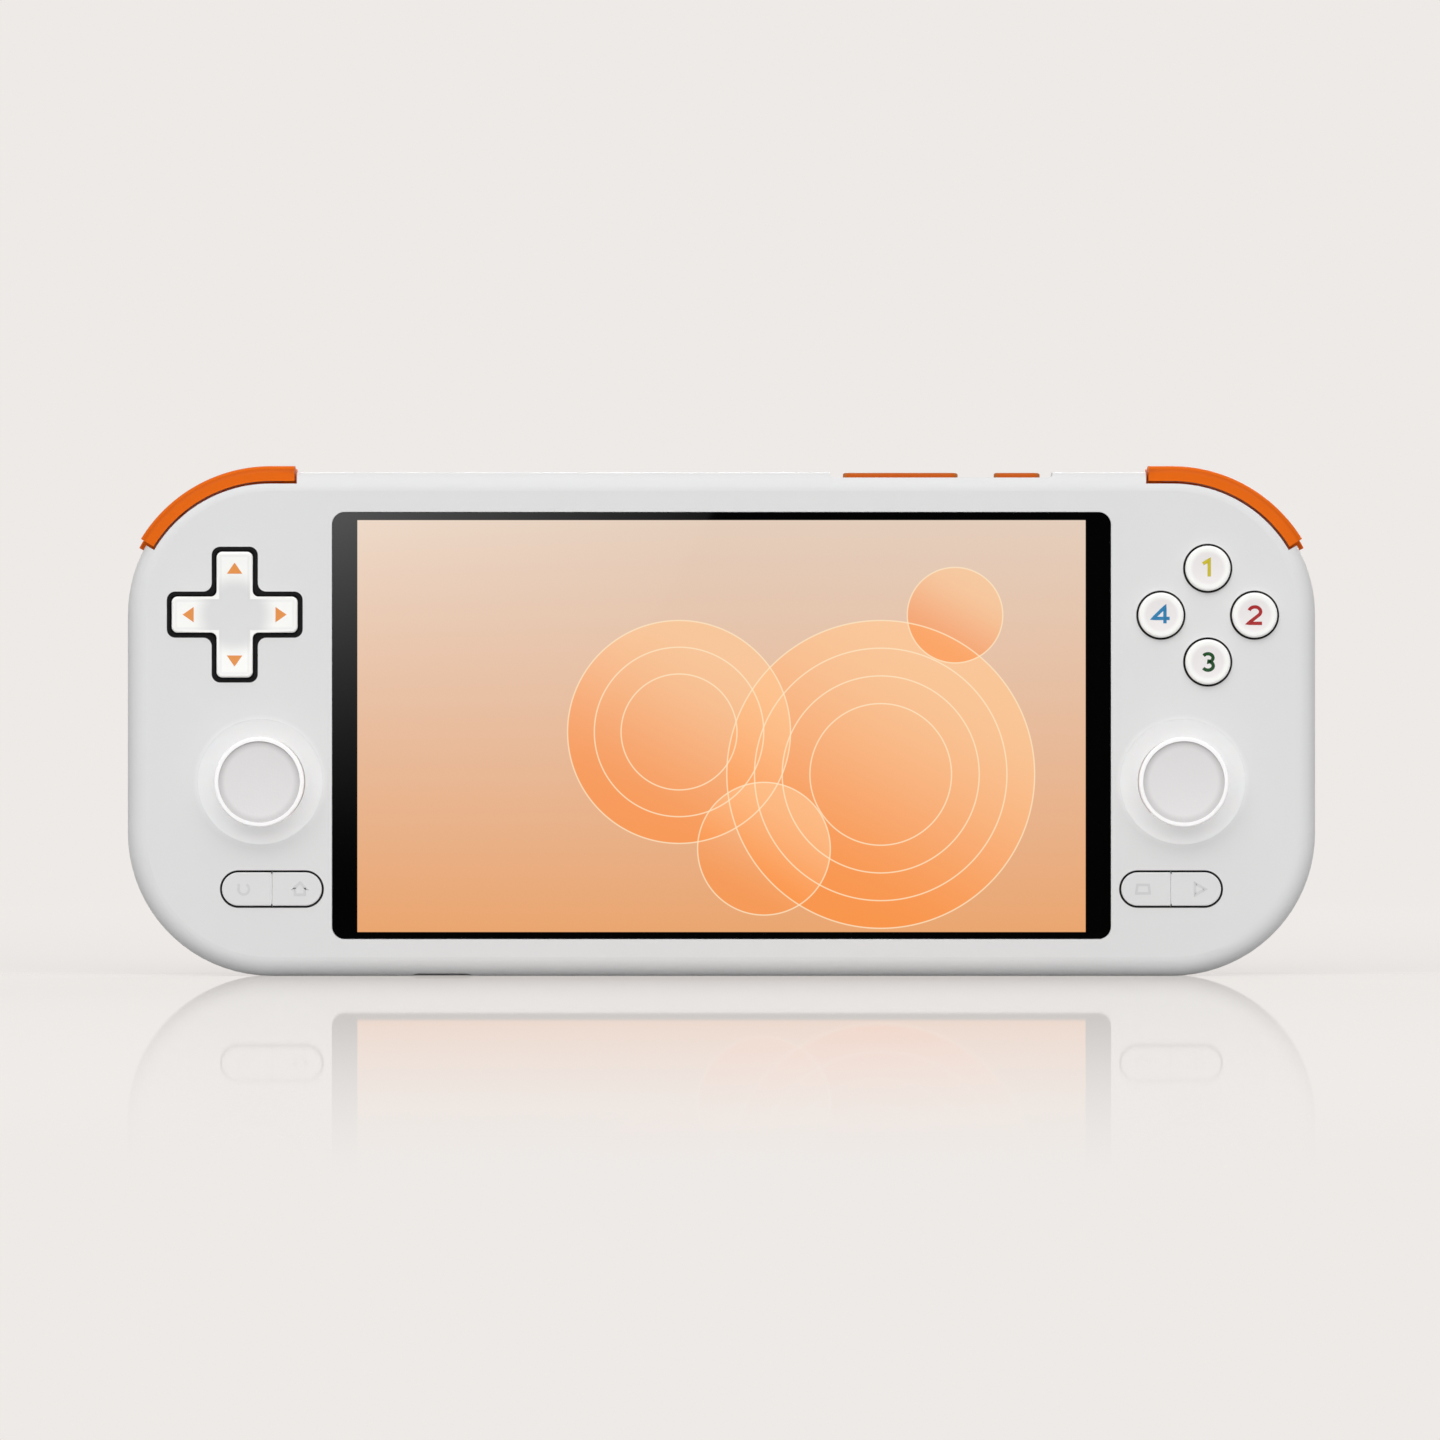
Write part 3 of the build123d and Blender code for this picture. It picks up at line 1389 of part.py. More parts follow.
# Main board with its shield can, and the battery
with BuildPart() as main_board:
    main_limits = (main_board_start_x, main_board_end_x)
    tab_limits = (main_tab_start_x, main_board_start_x + overrun)
    add(
        span_block(
            main_limits, (main_board_bottom_z, main_board_top_z), 0, main_board_depth, main_board_far
        )
    )
    add(
        span_block(tab_limits, (main_tab_bottom_z, main_tab_top_z), 0, main_board_depth, main_board_far)
    )
    for place in shell_screw_places:
        add(disc(boss_radius + lug_room, 0, body_depth, place), mode=Mode.SUBTRACT)
    for place in main_board_posts:
        add(disc(post_hole_radius, 0, body_depth, place), mode=Mode.SUBTRACT)
main_board.part.label = "main_board"
export_step(main_board.part, "parts/main_board.step")

shield_far = main_board_far + shield_height
with BuildPart() as processor_shield:
    add(
        block(
            shield_size, shield_size, shield_corner, main_board_far, shield_far, (processor_x, processor_z)
        )
    )
processor_shield.part.label = "processor_shield"
export_step(processor_shield.part, "parts/processor_shield.step")

with BuildPart() as battery:
    battery_near = frame_far + battery_near_gap
    add(
        span_block(
            (battery_start_x, battery_end_x),
            (battery_bottom_z, battery_top_z),
            battery_corner,
            battery_near,
            battery_near + battery_thickness,
        )
    )
battery.part.label = "battery"
export_step(battery.part, "parts/battery.step")

# Fan and heat sink
fan_place = (fan_x, fan_z)
fan_far = main_board_far + fan_height
chamber_near = main_board_far + fan_wall
chamber_far = fan_far - fan_wall
with BuildPart() as fan_housing:
    add(block(fan_size, fan_size, fan_corner, main_board_far, fan_far, fan_place))
    add(disc(fan_chamber_radius, chamber_near, chamber_far, fan_place), mode=Mode.SUBTRACT)
    add(disc(fan_intake_radius, chamber_near, fan_far + overrun, fan_place), mode=Mode.SUBTRACT)
    outlet_x = (fan_x - fan_size / 2 - overrun, fan_x)
    outlet_top = fan_z + fan_chamber_radius
    add(
        span_block(outlet_x, (outlet_top - fan_outlet_height, outlet_top), 0, chamber_near, chamber_far),
        mode=Mode.SUBTRACT,
    )
    add(disc(fan_post_radius, main_board_far, chamber_far - rotor_gap, fan_place))
fan_housing.part.label = "fan_housing"
export_step(fan_housing.part, "parts/fan_housing.step")

with BuildPart() as fan_rotor:
    rotor_near = chamber_near + rotor_gap
    rotor_far = chamber_far - rotor_gap
    add(disc(rotor_hub_radius, rotor_near, rotor_far, fan_place))
    with BuildSketch(facing(rotor_far)):
        with Locations(fan_place):
            with PolarLocations((rotor_hub_radius + rotor_radius) / 2 - overrun / 2, rotor_blade_count):
                Rectangle(rotor_radius - rotor_hub_radius + overrun, rotor_blade_width)
    extrude(amount=rotor_far - rotor_near)
    add(disc(fan_post_radius + running_gap, 0, body_depth, fan_place), mode=Mode.SUBTRACT)
fan_rotor.part.label = "fan_rotor"
export_step(fan_rotor.part, "parts/fan_rotor.step")

pipe_far = shield_far + pipe_thickness
with BuildPart() as heat_pipe:
    pipe_x = (processor_x - pipe_width / 2, processor_x + pipe_width / 2)
    add(span_block(pipe_x, (pipe_bottom_z, pipe_top_z), pipe_width / 4, shield_far, pipe_far))
heat_pipe.part.label = "heat_pipe"
export_step(heat_pipe.part, "parts/heat_pipe.step")

with BuildPart() as heat_sink:
    add(
        span_block(
            (sink_start_x, sink_end_x),
            (sink_base_bottom_z, sink_top_z),
            0,
            pipe_far,
            pipe_far + sink_base_thickness,
        )
    )
    fin_pitch = (sink_end_x - sink_start_x - sink_fin_thickness) / (sink_fin_count - 1)
    for fin in range(sink_fin_count):
        fin_x = sink_start_x + fin * fin_pitch
        add(
            span_block(
                (fin_x, fin_x + sink_fin_thickness),
                (sink_fin_bottom_z, sink_top_z),
                0,
                pipe_far - sink_fin_height,
                pipe_far + sink_base_thickness,
            )
        )
heat_sink.part.label = "heat_sink"
export_step(heat_sink.part, "parts/heat_sink.step")

# Ports
with BuildPart() as usb_c_port:
    usb_y = at_depth(usb_depth)
    with BuildSketch(Plane.XY.offset(usb_mouth_z)):
        with Locations((usb_x, usb_y)):
            SlotOverall(usb_width, usb_thickness)
    extrude(amount=usb_length)
    with BuildSketch(Plane.XY.offset(usb_mouth_z - overrun)):
        with Locations((usb_x, usb_y)):
            SlotOverall(usb_width - 2 * usb_wall, usb_thickness - 2 * usb_wall)
    extrude(amount=usb_length + overrun - usb_wall, mode=Mode.SUBTRACT)
    with BuildSketch(Plane.XY.offset(usb_mouth_z + overrun)):
        with Locations((usb_x, usb_y)):
            Rectangle(usb_tongue_width, usb_tongue_thickness)
    extrude(amount=usb_length - overrun)
usb_c_port.part.label = "usb_c_port"
export_step(usb_c_port.part, "parts/usb_c_port.step")

with BuildPart() as headphone_jack:
    jack_y = at_depth(jack_depth)
    with BuildSketch(Plane.XY.offset(jack_mouth_z)):
        with Locations((jack_x, jack_y)):
            Circle(jack_barrel_radius)
    extrude(amount=jack_barrel_length)
    with BuildSketch(Plane.XY.offset(jack_mouth_z + jack_barrel_length)):
        with Locations((jack_x, jack_y)):
            Rectangle(jack_body_width, 2 * jack_barrel_radius)
    extrude(amount=jack_length - jack_barrel_length)
    with BuildSketch(Plane.XY.offset(jack_mouth_z - overrun)):
        with Locations((jack_x, jack_y)):
            Circle(jack_bore_radius)
    extrude(amount=jack_bore_length + overrun, mode=Mode.SUBTRACT)
headphone_jack.part.label = "headphone_jack"
export_step(headphone_jack.part, "parts/headphone_jack.step")

with BuildPart() as card_reader:
    reader_y = at_depth(card_depth)
    with BuildSketch(Plane.XY.offset(card_reader_bottom_z)):
        with Locations((card_x, reader_y)):
            Rectangle(card_reader_width, card_reader_thickness)
    extrude(amount=card_reader_length)
    with BuildSketch(Plane.XY.offset(card_reader_bottom_z - overrun)):
        with Locations((card_x, reader_y)):
            Rectangle(card_slot_width, card_slot_thickness)
    extrude(amount=card_reader_length, mode=Mode.SUBTRACT)
card_reader.part.label = "card_reader"
export_step(card_reader.part, "parts/card_reader.step")

# Speakers
with BuildPart() as speakers:
    for x in (speaker_left_x, speaker_right_x):
        speaker_near = cavity_depth - speaker_thickness
        place = (x, speaker_z)
        add(
            block(speaker_width, speaker_height, speaker_corner, speaker_near, cavity_depth, place)
        )
        cone_near = cavity_depth - speaker_cone_depth
        add(disc(speaker_cone_radius, cone_near, body_depth, place), mode=Mode.SUBTRACT)
speakers.part.label = "speakers"
export_step(speakers.part, "parts/speakers.step")

# Screws
head_far = screw_seat_depth + screw_head_height
with BuildPart() as shell_screws:
    for place in shell_screw_places:
        add(disc(screw_shank_radius, screw_end_depth, screw_seat_depth, place))
        add(disc(screw_head_radius, screw_seat_depth, head_far, place))
        add(disc(screw_socket_radius, head_far - screw_socket_depth, body_depth, place), mode=Mode.SUBTRACT)
    for side, sign in sides:
        with BuildSketch(Plane.XY.offset(seat_gap)):
            with Locations((sign * bottom_screw_x, at_depth(side_key_depth))):
                Circle(bottom_screw_head_radius)
        extrude(amount=bottom_screw_head_height - seat_gap)
        with BuildSketch(Plane.XY.offset(seat_gap)):
            with Locations((sign * bottom_screw_x, at_depth(side_key_depth))):
                Circle(small_screw_radius)
        extrude(amount=bottom_screw_length - seat_gap)
shell_screws.part.label = "shell_screws"
export_step(shell_screws.part, "parts/shell_screws.step")

with BuildPart() as board_screws:
    for place in board_posts:
        add(disc(small_screw_radius, front_wall + overrun, board_far, place))
        add(disc(small_head_radius, board_far, board_far + small_head_height, place))
    for place in main_board_posts:
        add(disc(small_screw_radius, frame_far, main_board_far, place))
        add(disc(small_head_radius, main_board_far, main_board_far + small_head_height, place))
board_screws.part.label = "board_screws"
export_step(board_screws.part, "parts/board_screws.step")
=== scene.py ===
import math

import bmesh
import bpy
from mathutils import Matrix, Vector


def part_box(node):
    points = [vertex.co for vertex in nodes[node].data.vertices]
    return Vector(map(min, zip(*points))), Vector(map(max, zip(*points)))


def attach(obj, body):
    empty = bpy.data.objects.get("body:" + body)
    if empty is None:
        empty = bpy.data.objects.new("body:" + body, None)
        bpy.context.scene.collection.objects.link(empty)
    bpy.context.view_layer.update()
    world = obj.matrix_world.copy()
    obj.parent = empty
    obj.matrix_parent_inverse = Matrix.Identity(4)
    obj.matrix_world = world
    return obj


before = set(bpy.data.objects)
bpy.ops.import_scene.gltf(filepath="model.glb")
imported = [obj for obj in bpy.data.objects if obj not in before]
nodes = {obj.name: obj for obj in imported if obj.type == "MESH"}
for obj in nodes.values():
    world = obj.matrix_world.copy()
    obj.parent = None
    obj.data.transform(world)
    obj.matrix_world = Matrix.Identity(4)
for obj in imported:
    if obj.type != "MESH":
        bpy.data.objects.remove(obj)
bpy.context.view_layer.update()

# One millimetre in the scene's unit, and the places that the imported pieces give
MM = 0.001
SIDES = ("left", "right")
FRONT_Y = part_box("front_shell")[0].y
PARTING_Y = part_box("rear_shell")[0].y


def middle(node):
    """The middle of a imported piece's box."""
    low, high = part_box(node)
    return (low + high) / 2


def srgb(red, green, blue):
    """A colour as it shows on screen, from 0 to 255, as the linear colour that the shaders take."""
    values = []
    for value in (red, green, blue):
        share = value / 255
        values.append(share / 12.92 if share <= 0.04045 else ((share + 0.055) / 1.055) ** 2.4)
    return (*values, 1.0)


# Colours
SHELL_WHITE = srgb(225, 225, 225)
SEAM_GREY = srgb(120, 120, 120)
KEY_HIGHLIGHT_WHITE = srgb(254, 254, 251)
KEY_GREY = srgb(226, 226, 226)
GROOVE_SHADE_GREY = srgb(218, 218, 218)
BUTTON_GREY = srgb(241, 237, 236)
CAP_WHITE = srgb(247, 246, 246)
GRIP_GREY = srgb(227, 225, 225)
GRIP_RIM_SHADE = srgb(203, 201, 201)
RING_WHITE = srgb(236, 236, 236)
RING_BASE = srgb(210, 210, 210)
GAP_SHADE_BLACK = srgb(5, 5, 6)
SPLIT_GLOW_GREY = srgb(212, 212, 212)
BEZEL_BLACK = srgb(7, 7, 8)
ORANGE = srgb(229, 103, 2)
BAND_SHADE_ORANGE = srgb(198, 84, 6)
SIDE_ORANGE = srgb(184, 104, 48)
EDGE_HIGHLIGHT_ORANGE = srgb(244, 136, 44)
ARROW_ORANGE = srgb(236, 148, 66)
SILICONE_GREY = srgb(206, 206, 200)
ICON_GREY = srgb(212, 212, 213)
MARK_COLOURS = (srgb(206, 188, 20), srgb(176, 8, 20), srgb(0, 76, 20), srgb(14, 128, 182))
BACKGROUND = srgb(238, 234, 231)
FLOOR_BOUNCE = srgb(170, 171, 172)
MIRROR_WHITE = srgb(255, 255, 255)
SCREEN_TOP = srgb(228, 206, 188)
SCREEN_BOTTOM = srgb(234, 166, 112)
DISC_LIGHT = srgb(255, 200, 148)
DISC_DEEP = srgb(253, 144, 58)
LINE_CREAM = srgb(255, 232, 196)
GLASS_BLACK = srgb(3, 3, 3)
STEEL = srgb(196, 196, 198)
DARK_STEEL = srgb(70, 70, 73)
COPPER = srgb(214, 142, 104)
ALUMINIUM = srgb(214, 215, 217)
GOLD = srgb(224, 186, 110)
PLASTIC_BLACK = srgb(34, 34, 36)
FOAM_BLACK = srgb(30, 30, 30)
PANEL_GREY = srgb(60, 60, 64)
BATTERY_GREY = srgb(58, 58, 62)
MASK_GREEN = srgb(20, 84, 52)
MASK_LIGHT = srgb(24, 92, 58)
TRACK_GREEN = srgb(52, 120, 70)


class Graph:
    """A material's node tree, with short ways to add its nodes."""

    def __init__(self, name):
        self.material = bpy.data.materials.new(name)
        self.material.use_nodes = True
        self.tree = self.material.node_tree
        self.tree.nodes.clear()
        self.output = self.tree.nodes.new("ShaderNodeOutputMaterial")

    def add(self, kind, values=(), **settings):
        """A new node, with its inputs linked or set by name or number."""
        node = self.tree.nodes.new(kind)
        for key, value in settings.items():
            setattr(node, key, value)
        for key, value in dict(values).items():
            if isinstance(value, bpy.types.NodeSocket):
                self.tree.links.new(value, node.inputs[key])
            else:
                node.inputs[key].default_value = value
        return node

    def place(self):
        """The place on the object, in the shared frame."""
        return self.add("ShaderNodeTexCoord").outputs["Object"]

    def axis(self, letter, vector=None):
        """One coordinate of a vector, or of the place on the object."""
        parts = self.add("ShaderNodeSeparateXYZ", {0: vector or self.place()})
        return parts.outputs[letter]

    def math(self, operation, first, second=0.0, clamp=False):
        """A sum, product or other operation on one or two numbers."""
        node = self.add("ShaderNodeMath", {0: first, 1: second}, operation=operation, use_clamp=clamp)
        return node.outputs[0]

    def ramp(self, value, low, high, start=0.0, end=1.0, smooth=False):
        """A value carried from one range to another, and held at its ends."""
        node = self.add(
            "ShaderNodeMapRange",
            {"Value": value, "From Min": low, "From Max": high, "To Min": start, "To Max": end},
            interpolation_type="SMOOTHSTEP" if smooth else "LINEAR",
        )
        return node.outputs[0]

    def mix(self, factor, first, second):
        """Two colours mixed. The node's colour sockets come after those for numbers and vectors."""
        node = self.add("ShaderNodeMix", data_type="RGBA")
        for socket, value in ((node.inputs[0], factor), (node.inputs[6], first), (node.inputs[7], second)):
            if isinstance(value, bpy.types.NodeSocket):
                self.tree.links.new(value, socket)
            else:
                socket.default_value = value
        return node.outputs[2]

    def noise(self, size, detail=3.0, roughness=0.5, vector=None):
        """A noise whose grains are about the given size in metres."""
        node = self.add(
            "ShaderNodeTexNoise",
            {
                "Vector": vector or self.place(),
                "Scale": 1 / size,
                "Detail": detail,
                "Roughness": roughness,
            },
        )
        return node.outputs["Fac"]

    def length(self, first, second):
        """The length of the diagonal that two lengths at right angles span."""
        first = self.math("MULTIPLY", first, first)
        second = self.math("MULTIPLY", second, second)
        return self.math("SQRT", self.math("ADD", first, second))

    def off_middle(self, letter, middle_value):
        """How far a place lies from a middle along one axis, on either side."""
        return self.math("ABSOLUTE", self.math("SUBTRACT", self.axis(letter), middle_value))

    def distance(self, centre_x, centre_z):
        """The distance from a line along Y."""
        across = self.math("SUBTRACT", self.axis("X"), centre_x)
        up = self.math("SUBTRACT", self.axis("Z"), centre_z)
        return self.length(across, up)

    def pill_distance(self, centre_x, centre_z, width, height):
        """The distance outside the outline of a slot with round ends."""
        straight = (width - height) / 2
        across = self.math("SUBTRACT", self.off_middle("X", centre_x), straight)
        across = self.math("MAXIMUM", across, 0.0)
        up = self.off_middle("Z", centre_z)
        return self.math("SUBTRACT", self.length(across, up), height / 2)

    def cross_depth(self, centre_x, centre_z, half_span, half_arm):
        """How deep a place lies inside the outline of a cross."""
        across = self.off_middle("X", centre_x)
        up = self.off_middle("Z", centre_z)
        bars = []
        for long, short in ((across, up), (up, across)):
            end = self.math("SUBTRACT", half_span, long)
            flank = self.math("SUBTRACT", half_arm, short)
            bars.append(self.math("MINIMUM", end, flank))
        return self.math("MAXIMUM", *bars)

    def bump(self, height, strength, depth, normal=None):
        """A surface direction that follows a height, on top of another direction if one is given."""
        values = {"Height": height, "Strength": strength, "Distance": depth}
        if normal is not None:
            values["Normal"] = normal
        return self.add("ShaderNodeBump", values).outputs[0]

    def surface(self, values):
        """Ends the tree in one shader with these inputs, and gives the material."""
        shader = self.add("ShaderNodeBsdfPrincipled", values)
        self.tree.links.new(shader.outputs[0], self.output.inputs["Surface"])
        return self.material


# How large the slow changes of colour and gloss are, and the sizes of a moulded surface
SHADE_SIZE = 14 * MM
FLOW_SIZE = 6 * MM
GRAIN_SIZE = 0.22 * MM
GRAIN_DEPTH = 0.012 * MM
FINE_GRAIN_DEPTH = 0.008 * MM
EDGE_ROUND = 0.12 * MM
ROUGHNESS_SPREAD = 0.05


def shaded(graph, colour, spread):
    """A colour with slow, faint variation over the piece."""
    light = tuple(min(part * (1 + spread), 1.0) for part in colour[:3]) + (1.0,)
    dark = tuple(part * (1 - spread) for part in colour[:3]) + (1.0,)
    return graph.mix(graph.noise(SHADE_SIZE, detail=2.0), dark, light)


def moulded_finish(graph, colour, roughness, grain_depth=GRAIN_DEPTH, edge=EDGE_ROUND, extra=()):
    """Moulded plastic: spark-eroded grain, softened edges and a roughness that varies a little."""
    rounded = graph.add("ShaderNodeBevel", {"Radius": edge}, samples=4).outputs[0]
    grains = graph.noise(GRAIN_SIZE, detail=4.0, roughness=0.6)
    flow = graph.noise(FLOW_SIZE)
    normal = graph.bump(grains, 0.55, grain_depth, rounded)
    smoother = roughness - ROUGHNESS_SPREAD
    rougher = roughness + ROUGHNESS_SPREAD
    values = {
        "Base Color": colour,
        "Roughness": graph.ramp(flow, 0.3, 0.7, smoother, rougher),
        "Normal": normal,
    }
    values.update(dict(extra))
    return graph.surface(values)


def plain_plastic(name, colour, roughness, spread=0.03, **options):
    """A moulded piece of one colour."""
    graph = Graph(name)
    return moulded_finish(graph, shaded(graph, colour, spread), roughness, **options)


# Outlines of the key holes in the front, and how far the painted shade of a hole shows round its edge
BUTTON_HOLE = 4.5 * MM
MENU_HOLE_WIDTH = 19.3 * MM
MENU_HOLE_HEIGHT = 6.8 * MM
RIM_START = 0.11 * MM
RIM_END = 0.18 * MM

# The light that spreads from a stick's ring over the casing, and how deep the casing's face counts as front
HALO_START = 11.3 * MM
HALO_END = 12.9 * MM
FRONT_FACE_DEPTH = 1.9 * MM

# How much the casing's white varies, and the shadow line of the joint between its two halves
SHELL_SPREAD = 0.012
SEAM_START = 0.05 * MM
SEAM_END = 0.12 * MM


def menu_middle(first, second):
    """The middle of two menu buttons that share a hole."""
    return (middle(f"menu_button_{first}") + middle(f"menu_button_{second}")) / 2


MENU_MIDDLES = (menu_middle("back", "home"), menu_middle("tasks", "play"))


def hole_distance(graph):
    """The distance outside the nearest round or pill-shaped key hole in the front."""
    rims = []
    for number in range(1, len(MARK_COLOURS) + 1):
        centre = middle(f"face_button_{number}")
        rims.append(graph.math("SUBTRACT", graph.distance(centre.x, centre.z), BUTTON_HOLE))
    for centre in MENU_MIDDLES:
        rims.append(graph.pill_distance(centre.x, centre.z, MENU_HOLE_WIDTH, MENU_HOLE_HEIGHT))
    nearest = rims[0]
    for rim in rims[1:]:
        nearest = graph.math("MINIMUM", nearest, rim)
    return nearest


def shell_plastic():
    """The white casing: fine grain, painted shade in the key rims, soft light round the sticks, and the
    joint's line.
    """
    graph = Graph("shell_plastic")
    colour = shaded(graph, SHELL_WHITE, SHELL_SPREAD)
    front = graph.math("LESS_THAN", graph.axis("Y"), FRONT_Y + FRONT_FACE_DEPTH)
    for side in SIDES:
        centre = middle(f"{side}_light_ring")
        away = graph.distance(centre.x, centre.z)
        halo = graph.ramp(away, HALO_START, HALO_END, 1.0, 0.0, smooth=True)
        colour = graph.mix(graph.math("MULTIPLY", halo, front), colour, RING_WHITE)
    # Painted shade: round the key holes the casing's face is painted near black.
    dark = graph.ramp(hole_distance(graph), RIM_START, RIM_END, 1.0, 0.0)
    colour = graph.mix(graph.math("MULTIPLY", dark, front), colour, GAP_SHADE_BLACK)
    seam = graph.ramp(graph.off_middle("Y", PARTING_Y), SEAM_START, SEAM_END, 1.0, 0.0)
    return moulded_finish(graph, graph.mix(seam, colour, SEAM_GREY), roughness=0.46)


# How deep under the casing's face the keys' flanks turn to painted shade
BUTTON_DARK_DEPTH = 0.25 * MM
DPAD_DARK_DEPTH = 0.3 * MM
DARK_FADE = 0.12 * MM

# Where the grey dish of a face button passes into the painted highlight of its white rim
BUTTON_DISH_END = 2.7 * MM
BUTTON_RIM_START = 3.5 * MM


def sunk_to_painted_shade(graph, colour, depth):
    """What lies below the casing's face is painted dark, as the shade inside a key's hole."""
    start_y = FRONT_Y + depth
    # Painted shade: the flanks turn near black below the casing's face.
    sunk = graph.ramp(graph.axis("Y"), start_y, start_y + DARK_FADE)
    return graph.mix(sunk, colour, GAP_SHADE_BLACK)


def face_key_plastic(number):
    """A face button: a painted highlight on its white rim round a faintly grey dish."""
    graph = Graph(f"face_key_plastic_{number}")
    centre = middle(f"face_button_{number}")
    away = graph.distance(centre.x, centre.z)
    # Painted highlight: the rim is painted white, where light catches its rounded edge.
    rim = graph.ramp(away, BUTTON_DISH_END, BUTTON_RIM_START, smooth=True)
    colour = graph.mix(rim, BUTTON_GREY, KEY_HIGHLIGHT_WHITE)
    colour = sunk_to_painted_shade(graph, colour, BUTTON_DARK_DEPTH)
    coat = {"Coat Weight": 0.25, "Coat Roughness": 0.2}
    return moulded_finish(graph, colour, roughness=0.34, extra=coat)


# The direction pad's outline, where its grey middle ends, its painted white edge highlight and the painted
# shade of a faint groove inside that
DPAD_HALF_SPAN = 11.85 * MM
DPAD_HALF_ARM = 3.4 * MM
DPAD_GREY_END = 4.6 * MM
DPAD_WHITE_START = 8.4 * MM
DPAD_EDGE_END = 0.35 * MM
DPAD_EDGE_FADE = 0.6 * MM
GROOVE_INSET = 0.8 * MM
GROOVE_START = 0.05 * MM
GROOVE_END = 0.4 * MM
GROOVE_SHARE = 0.22


def dpad_plastic():
    """The direction pad: flat grey in the middle, with painted highlights towards its arms' ends and along
    its edges, and the painted shade of a groove.
    """
    graph = Graph("dpad_plastic")
    centre = middle("dpad")
    away = graph.distance(centre.x, centre.z)
    # Painted highlight: brighter towards the arms' ends, which rise to the light.
    end_highlight = graph.ramp(away, DPAD_GREY_END, DPAD_WHITE_START, smooth=True)
    colour = graph.mix(end_highlight, KEY_GREY, KEY_HIGHLIGHT_WHITE)
    depth = graph.cross_depth(centre.x, centre.z, DPAD_HALF_SPAN, DPAD_HALF_ARM)
    # Painted shade of a faint groove inside the edge.
    off_groove = graph.math("ABSOLUTE", graph.math("SUBTRACT", depth, GROOVE_INSET))
    groove_shade = graph.ramp(off_groove, GROOVE_START, GROOVE_END, GROOVE_SHARE, 0.0, smooth=True)
    colour = graph.mix(groove_shade, colour, GROOVE_SHADE_GREY)
    # Painted highlight along the edges.
    edge = graph.ramp(depth, DPAD_EDGE_END, DPAD_EDGE_FADE, 1.0, 0.0, smooth=True)
    colour = graph.mix(edge, colour, KEY_HIGHLIGHT_WHITE)
    colour = sunk_to_painted_shade(graph, colour, DPAD_DARK_DEPTH)
    coat = {"Coat Weight": 0.2, "Coat Roughness": 0.25}
    return moulded_finish(graph, colour, roughness=0.36, extra=coat)


# The narrow gap between two menu buttons: half its width and height with their soft edges
SPLIT_HALF = 0.5 * MM
SPLIT_HALF_END = 0.6 * MM
SPLIT_RISE = 2.75 * MM
SPLIT_RISE_END = 2.95 * MM

# The depths at which a menu button's flank turns to painted shade, and where the painted glow in the gap
# begins
MENU_DARK_DEPTH = 0.2 * MM
MENU_DARK_END = 0.32 * MM
SPLIT_GLOW_RISE = 0.4 * MM


def near_split(graph):
    """Whether a place lies at the narrow gap between two menu buttons."""
    shares = []
    for centre in MENU_MIDDLES:
        across = graph.off_middle("X", centre.x)
        shares.append(graph.ramp(across, SPLIT_HALF, SPLIT_HALF_END, 1.0, 0.0))
    level = graph.ramp(graph.off_middle("Z", MENU_MIDDLES[0].z), SPLIT_RISE, SPLIT_RISE_END, 1.0, 0.0)
    return graph.math("MULTIPLY", graph.math("MAXIMUM", *shares), level)


def menu_key_plastic():
    """The menu buttons: painted shade where they stand in their hole, and a painted pale glow in the gap
    between two of them.
    """
    graph = Graph("menu_key_plastic")
    y = graph.axis("Y")
    face = shaded(graph, SHELL_WHITE, SHELL_SPREAD)
    sunk = graph.ramp(y, FRONT_Y + MENU_DARK_DEPTH, FRONT_Y + MENU_DARK_END)
    split = near_split(graph)
    # Painted shade on the sunk flanks, and painted light in the gap between two buttons.
    colour = graph.mix(sunk, face, graph.mix(split, GAP_SHADE_BLACK, SPLIT_GLOW_GREY))
    # Painted light: the gap glows faintly to lift its shade.
    inner = graph.ramp(y, FRONT_Y - SPLIT_GLOW_RISE, FRONT_Y, 0.0, 0.5)
    glow = {"Emission Color": SPLIT_GLOW_GREY, "Emission Strength": graph.math("MULTIPLY", split, inner)}
    return moulded_finish(graph, colour, roughness=0.44, extra=glow)


def silicone():
    """The rubber under the keys, with a painted glow where it shows between two menu buttons."""
    graph = Graph("silicone")
    # Painted light: a faint glow in the gap between two menu buttons.
    strength = graph.math("MULTIPLY", near_split(graph), 0.6)
    glow = {"Emission Color": SPLIT_GLOW_GREY, "Emission Strength": strength}
    return moulded_finish(graph, shaded(graph, SILICONE_GREY, 0.02), roughness=0.6, extra=glow)


# The middle of the body's upper corners, round which the bumpers bend, and the painted shade of their outer
# band
CORNER_X = 85 * MM
CORNER_Z = 67.4 * MM
BAND_START = 27.3 * MM
BAND_END = 28.4 * MM
BAND_SHARE = 0.85

# The painted highlight on the edges of the orange keys: its width, the size of its patches, and how strong
# it is
HIGHLIGHT_WIDTH = 0.5 * MM
HIGHLIGHT_PATCH_SIZE = 3 * MM
HIGHLIGHT_SHARE = 0.3


def outer_band_shade(graph):
    """The outer edge of a bumper's front, painted a shade darker as the shade of its rounded edge."""
    across = graph.math("SUBTRACT", graph.off_middle("X", 0.0), CORNER_X)
    up = graph.math("SUBTRACT", graph.axis("Z"), CORNER_Z)
    band = graph.ramp(graph.length(across, up), BAND_START, BAND_END, 0.0, BAND_SHARE, smooth=True)
    facing = graph.axis("Y", graph.add("ShaderNodeNewGeometry").outputs["Normal"])
    return graph.math("MULTIPLY", band, graph.ramp(facing, -0.7, -0.9))


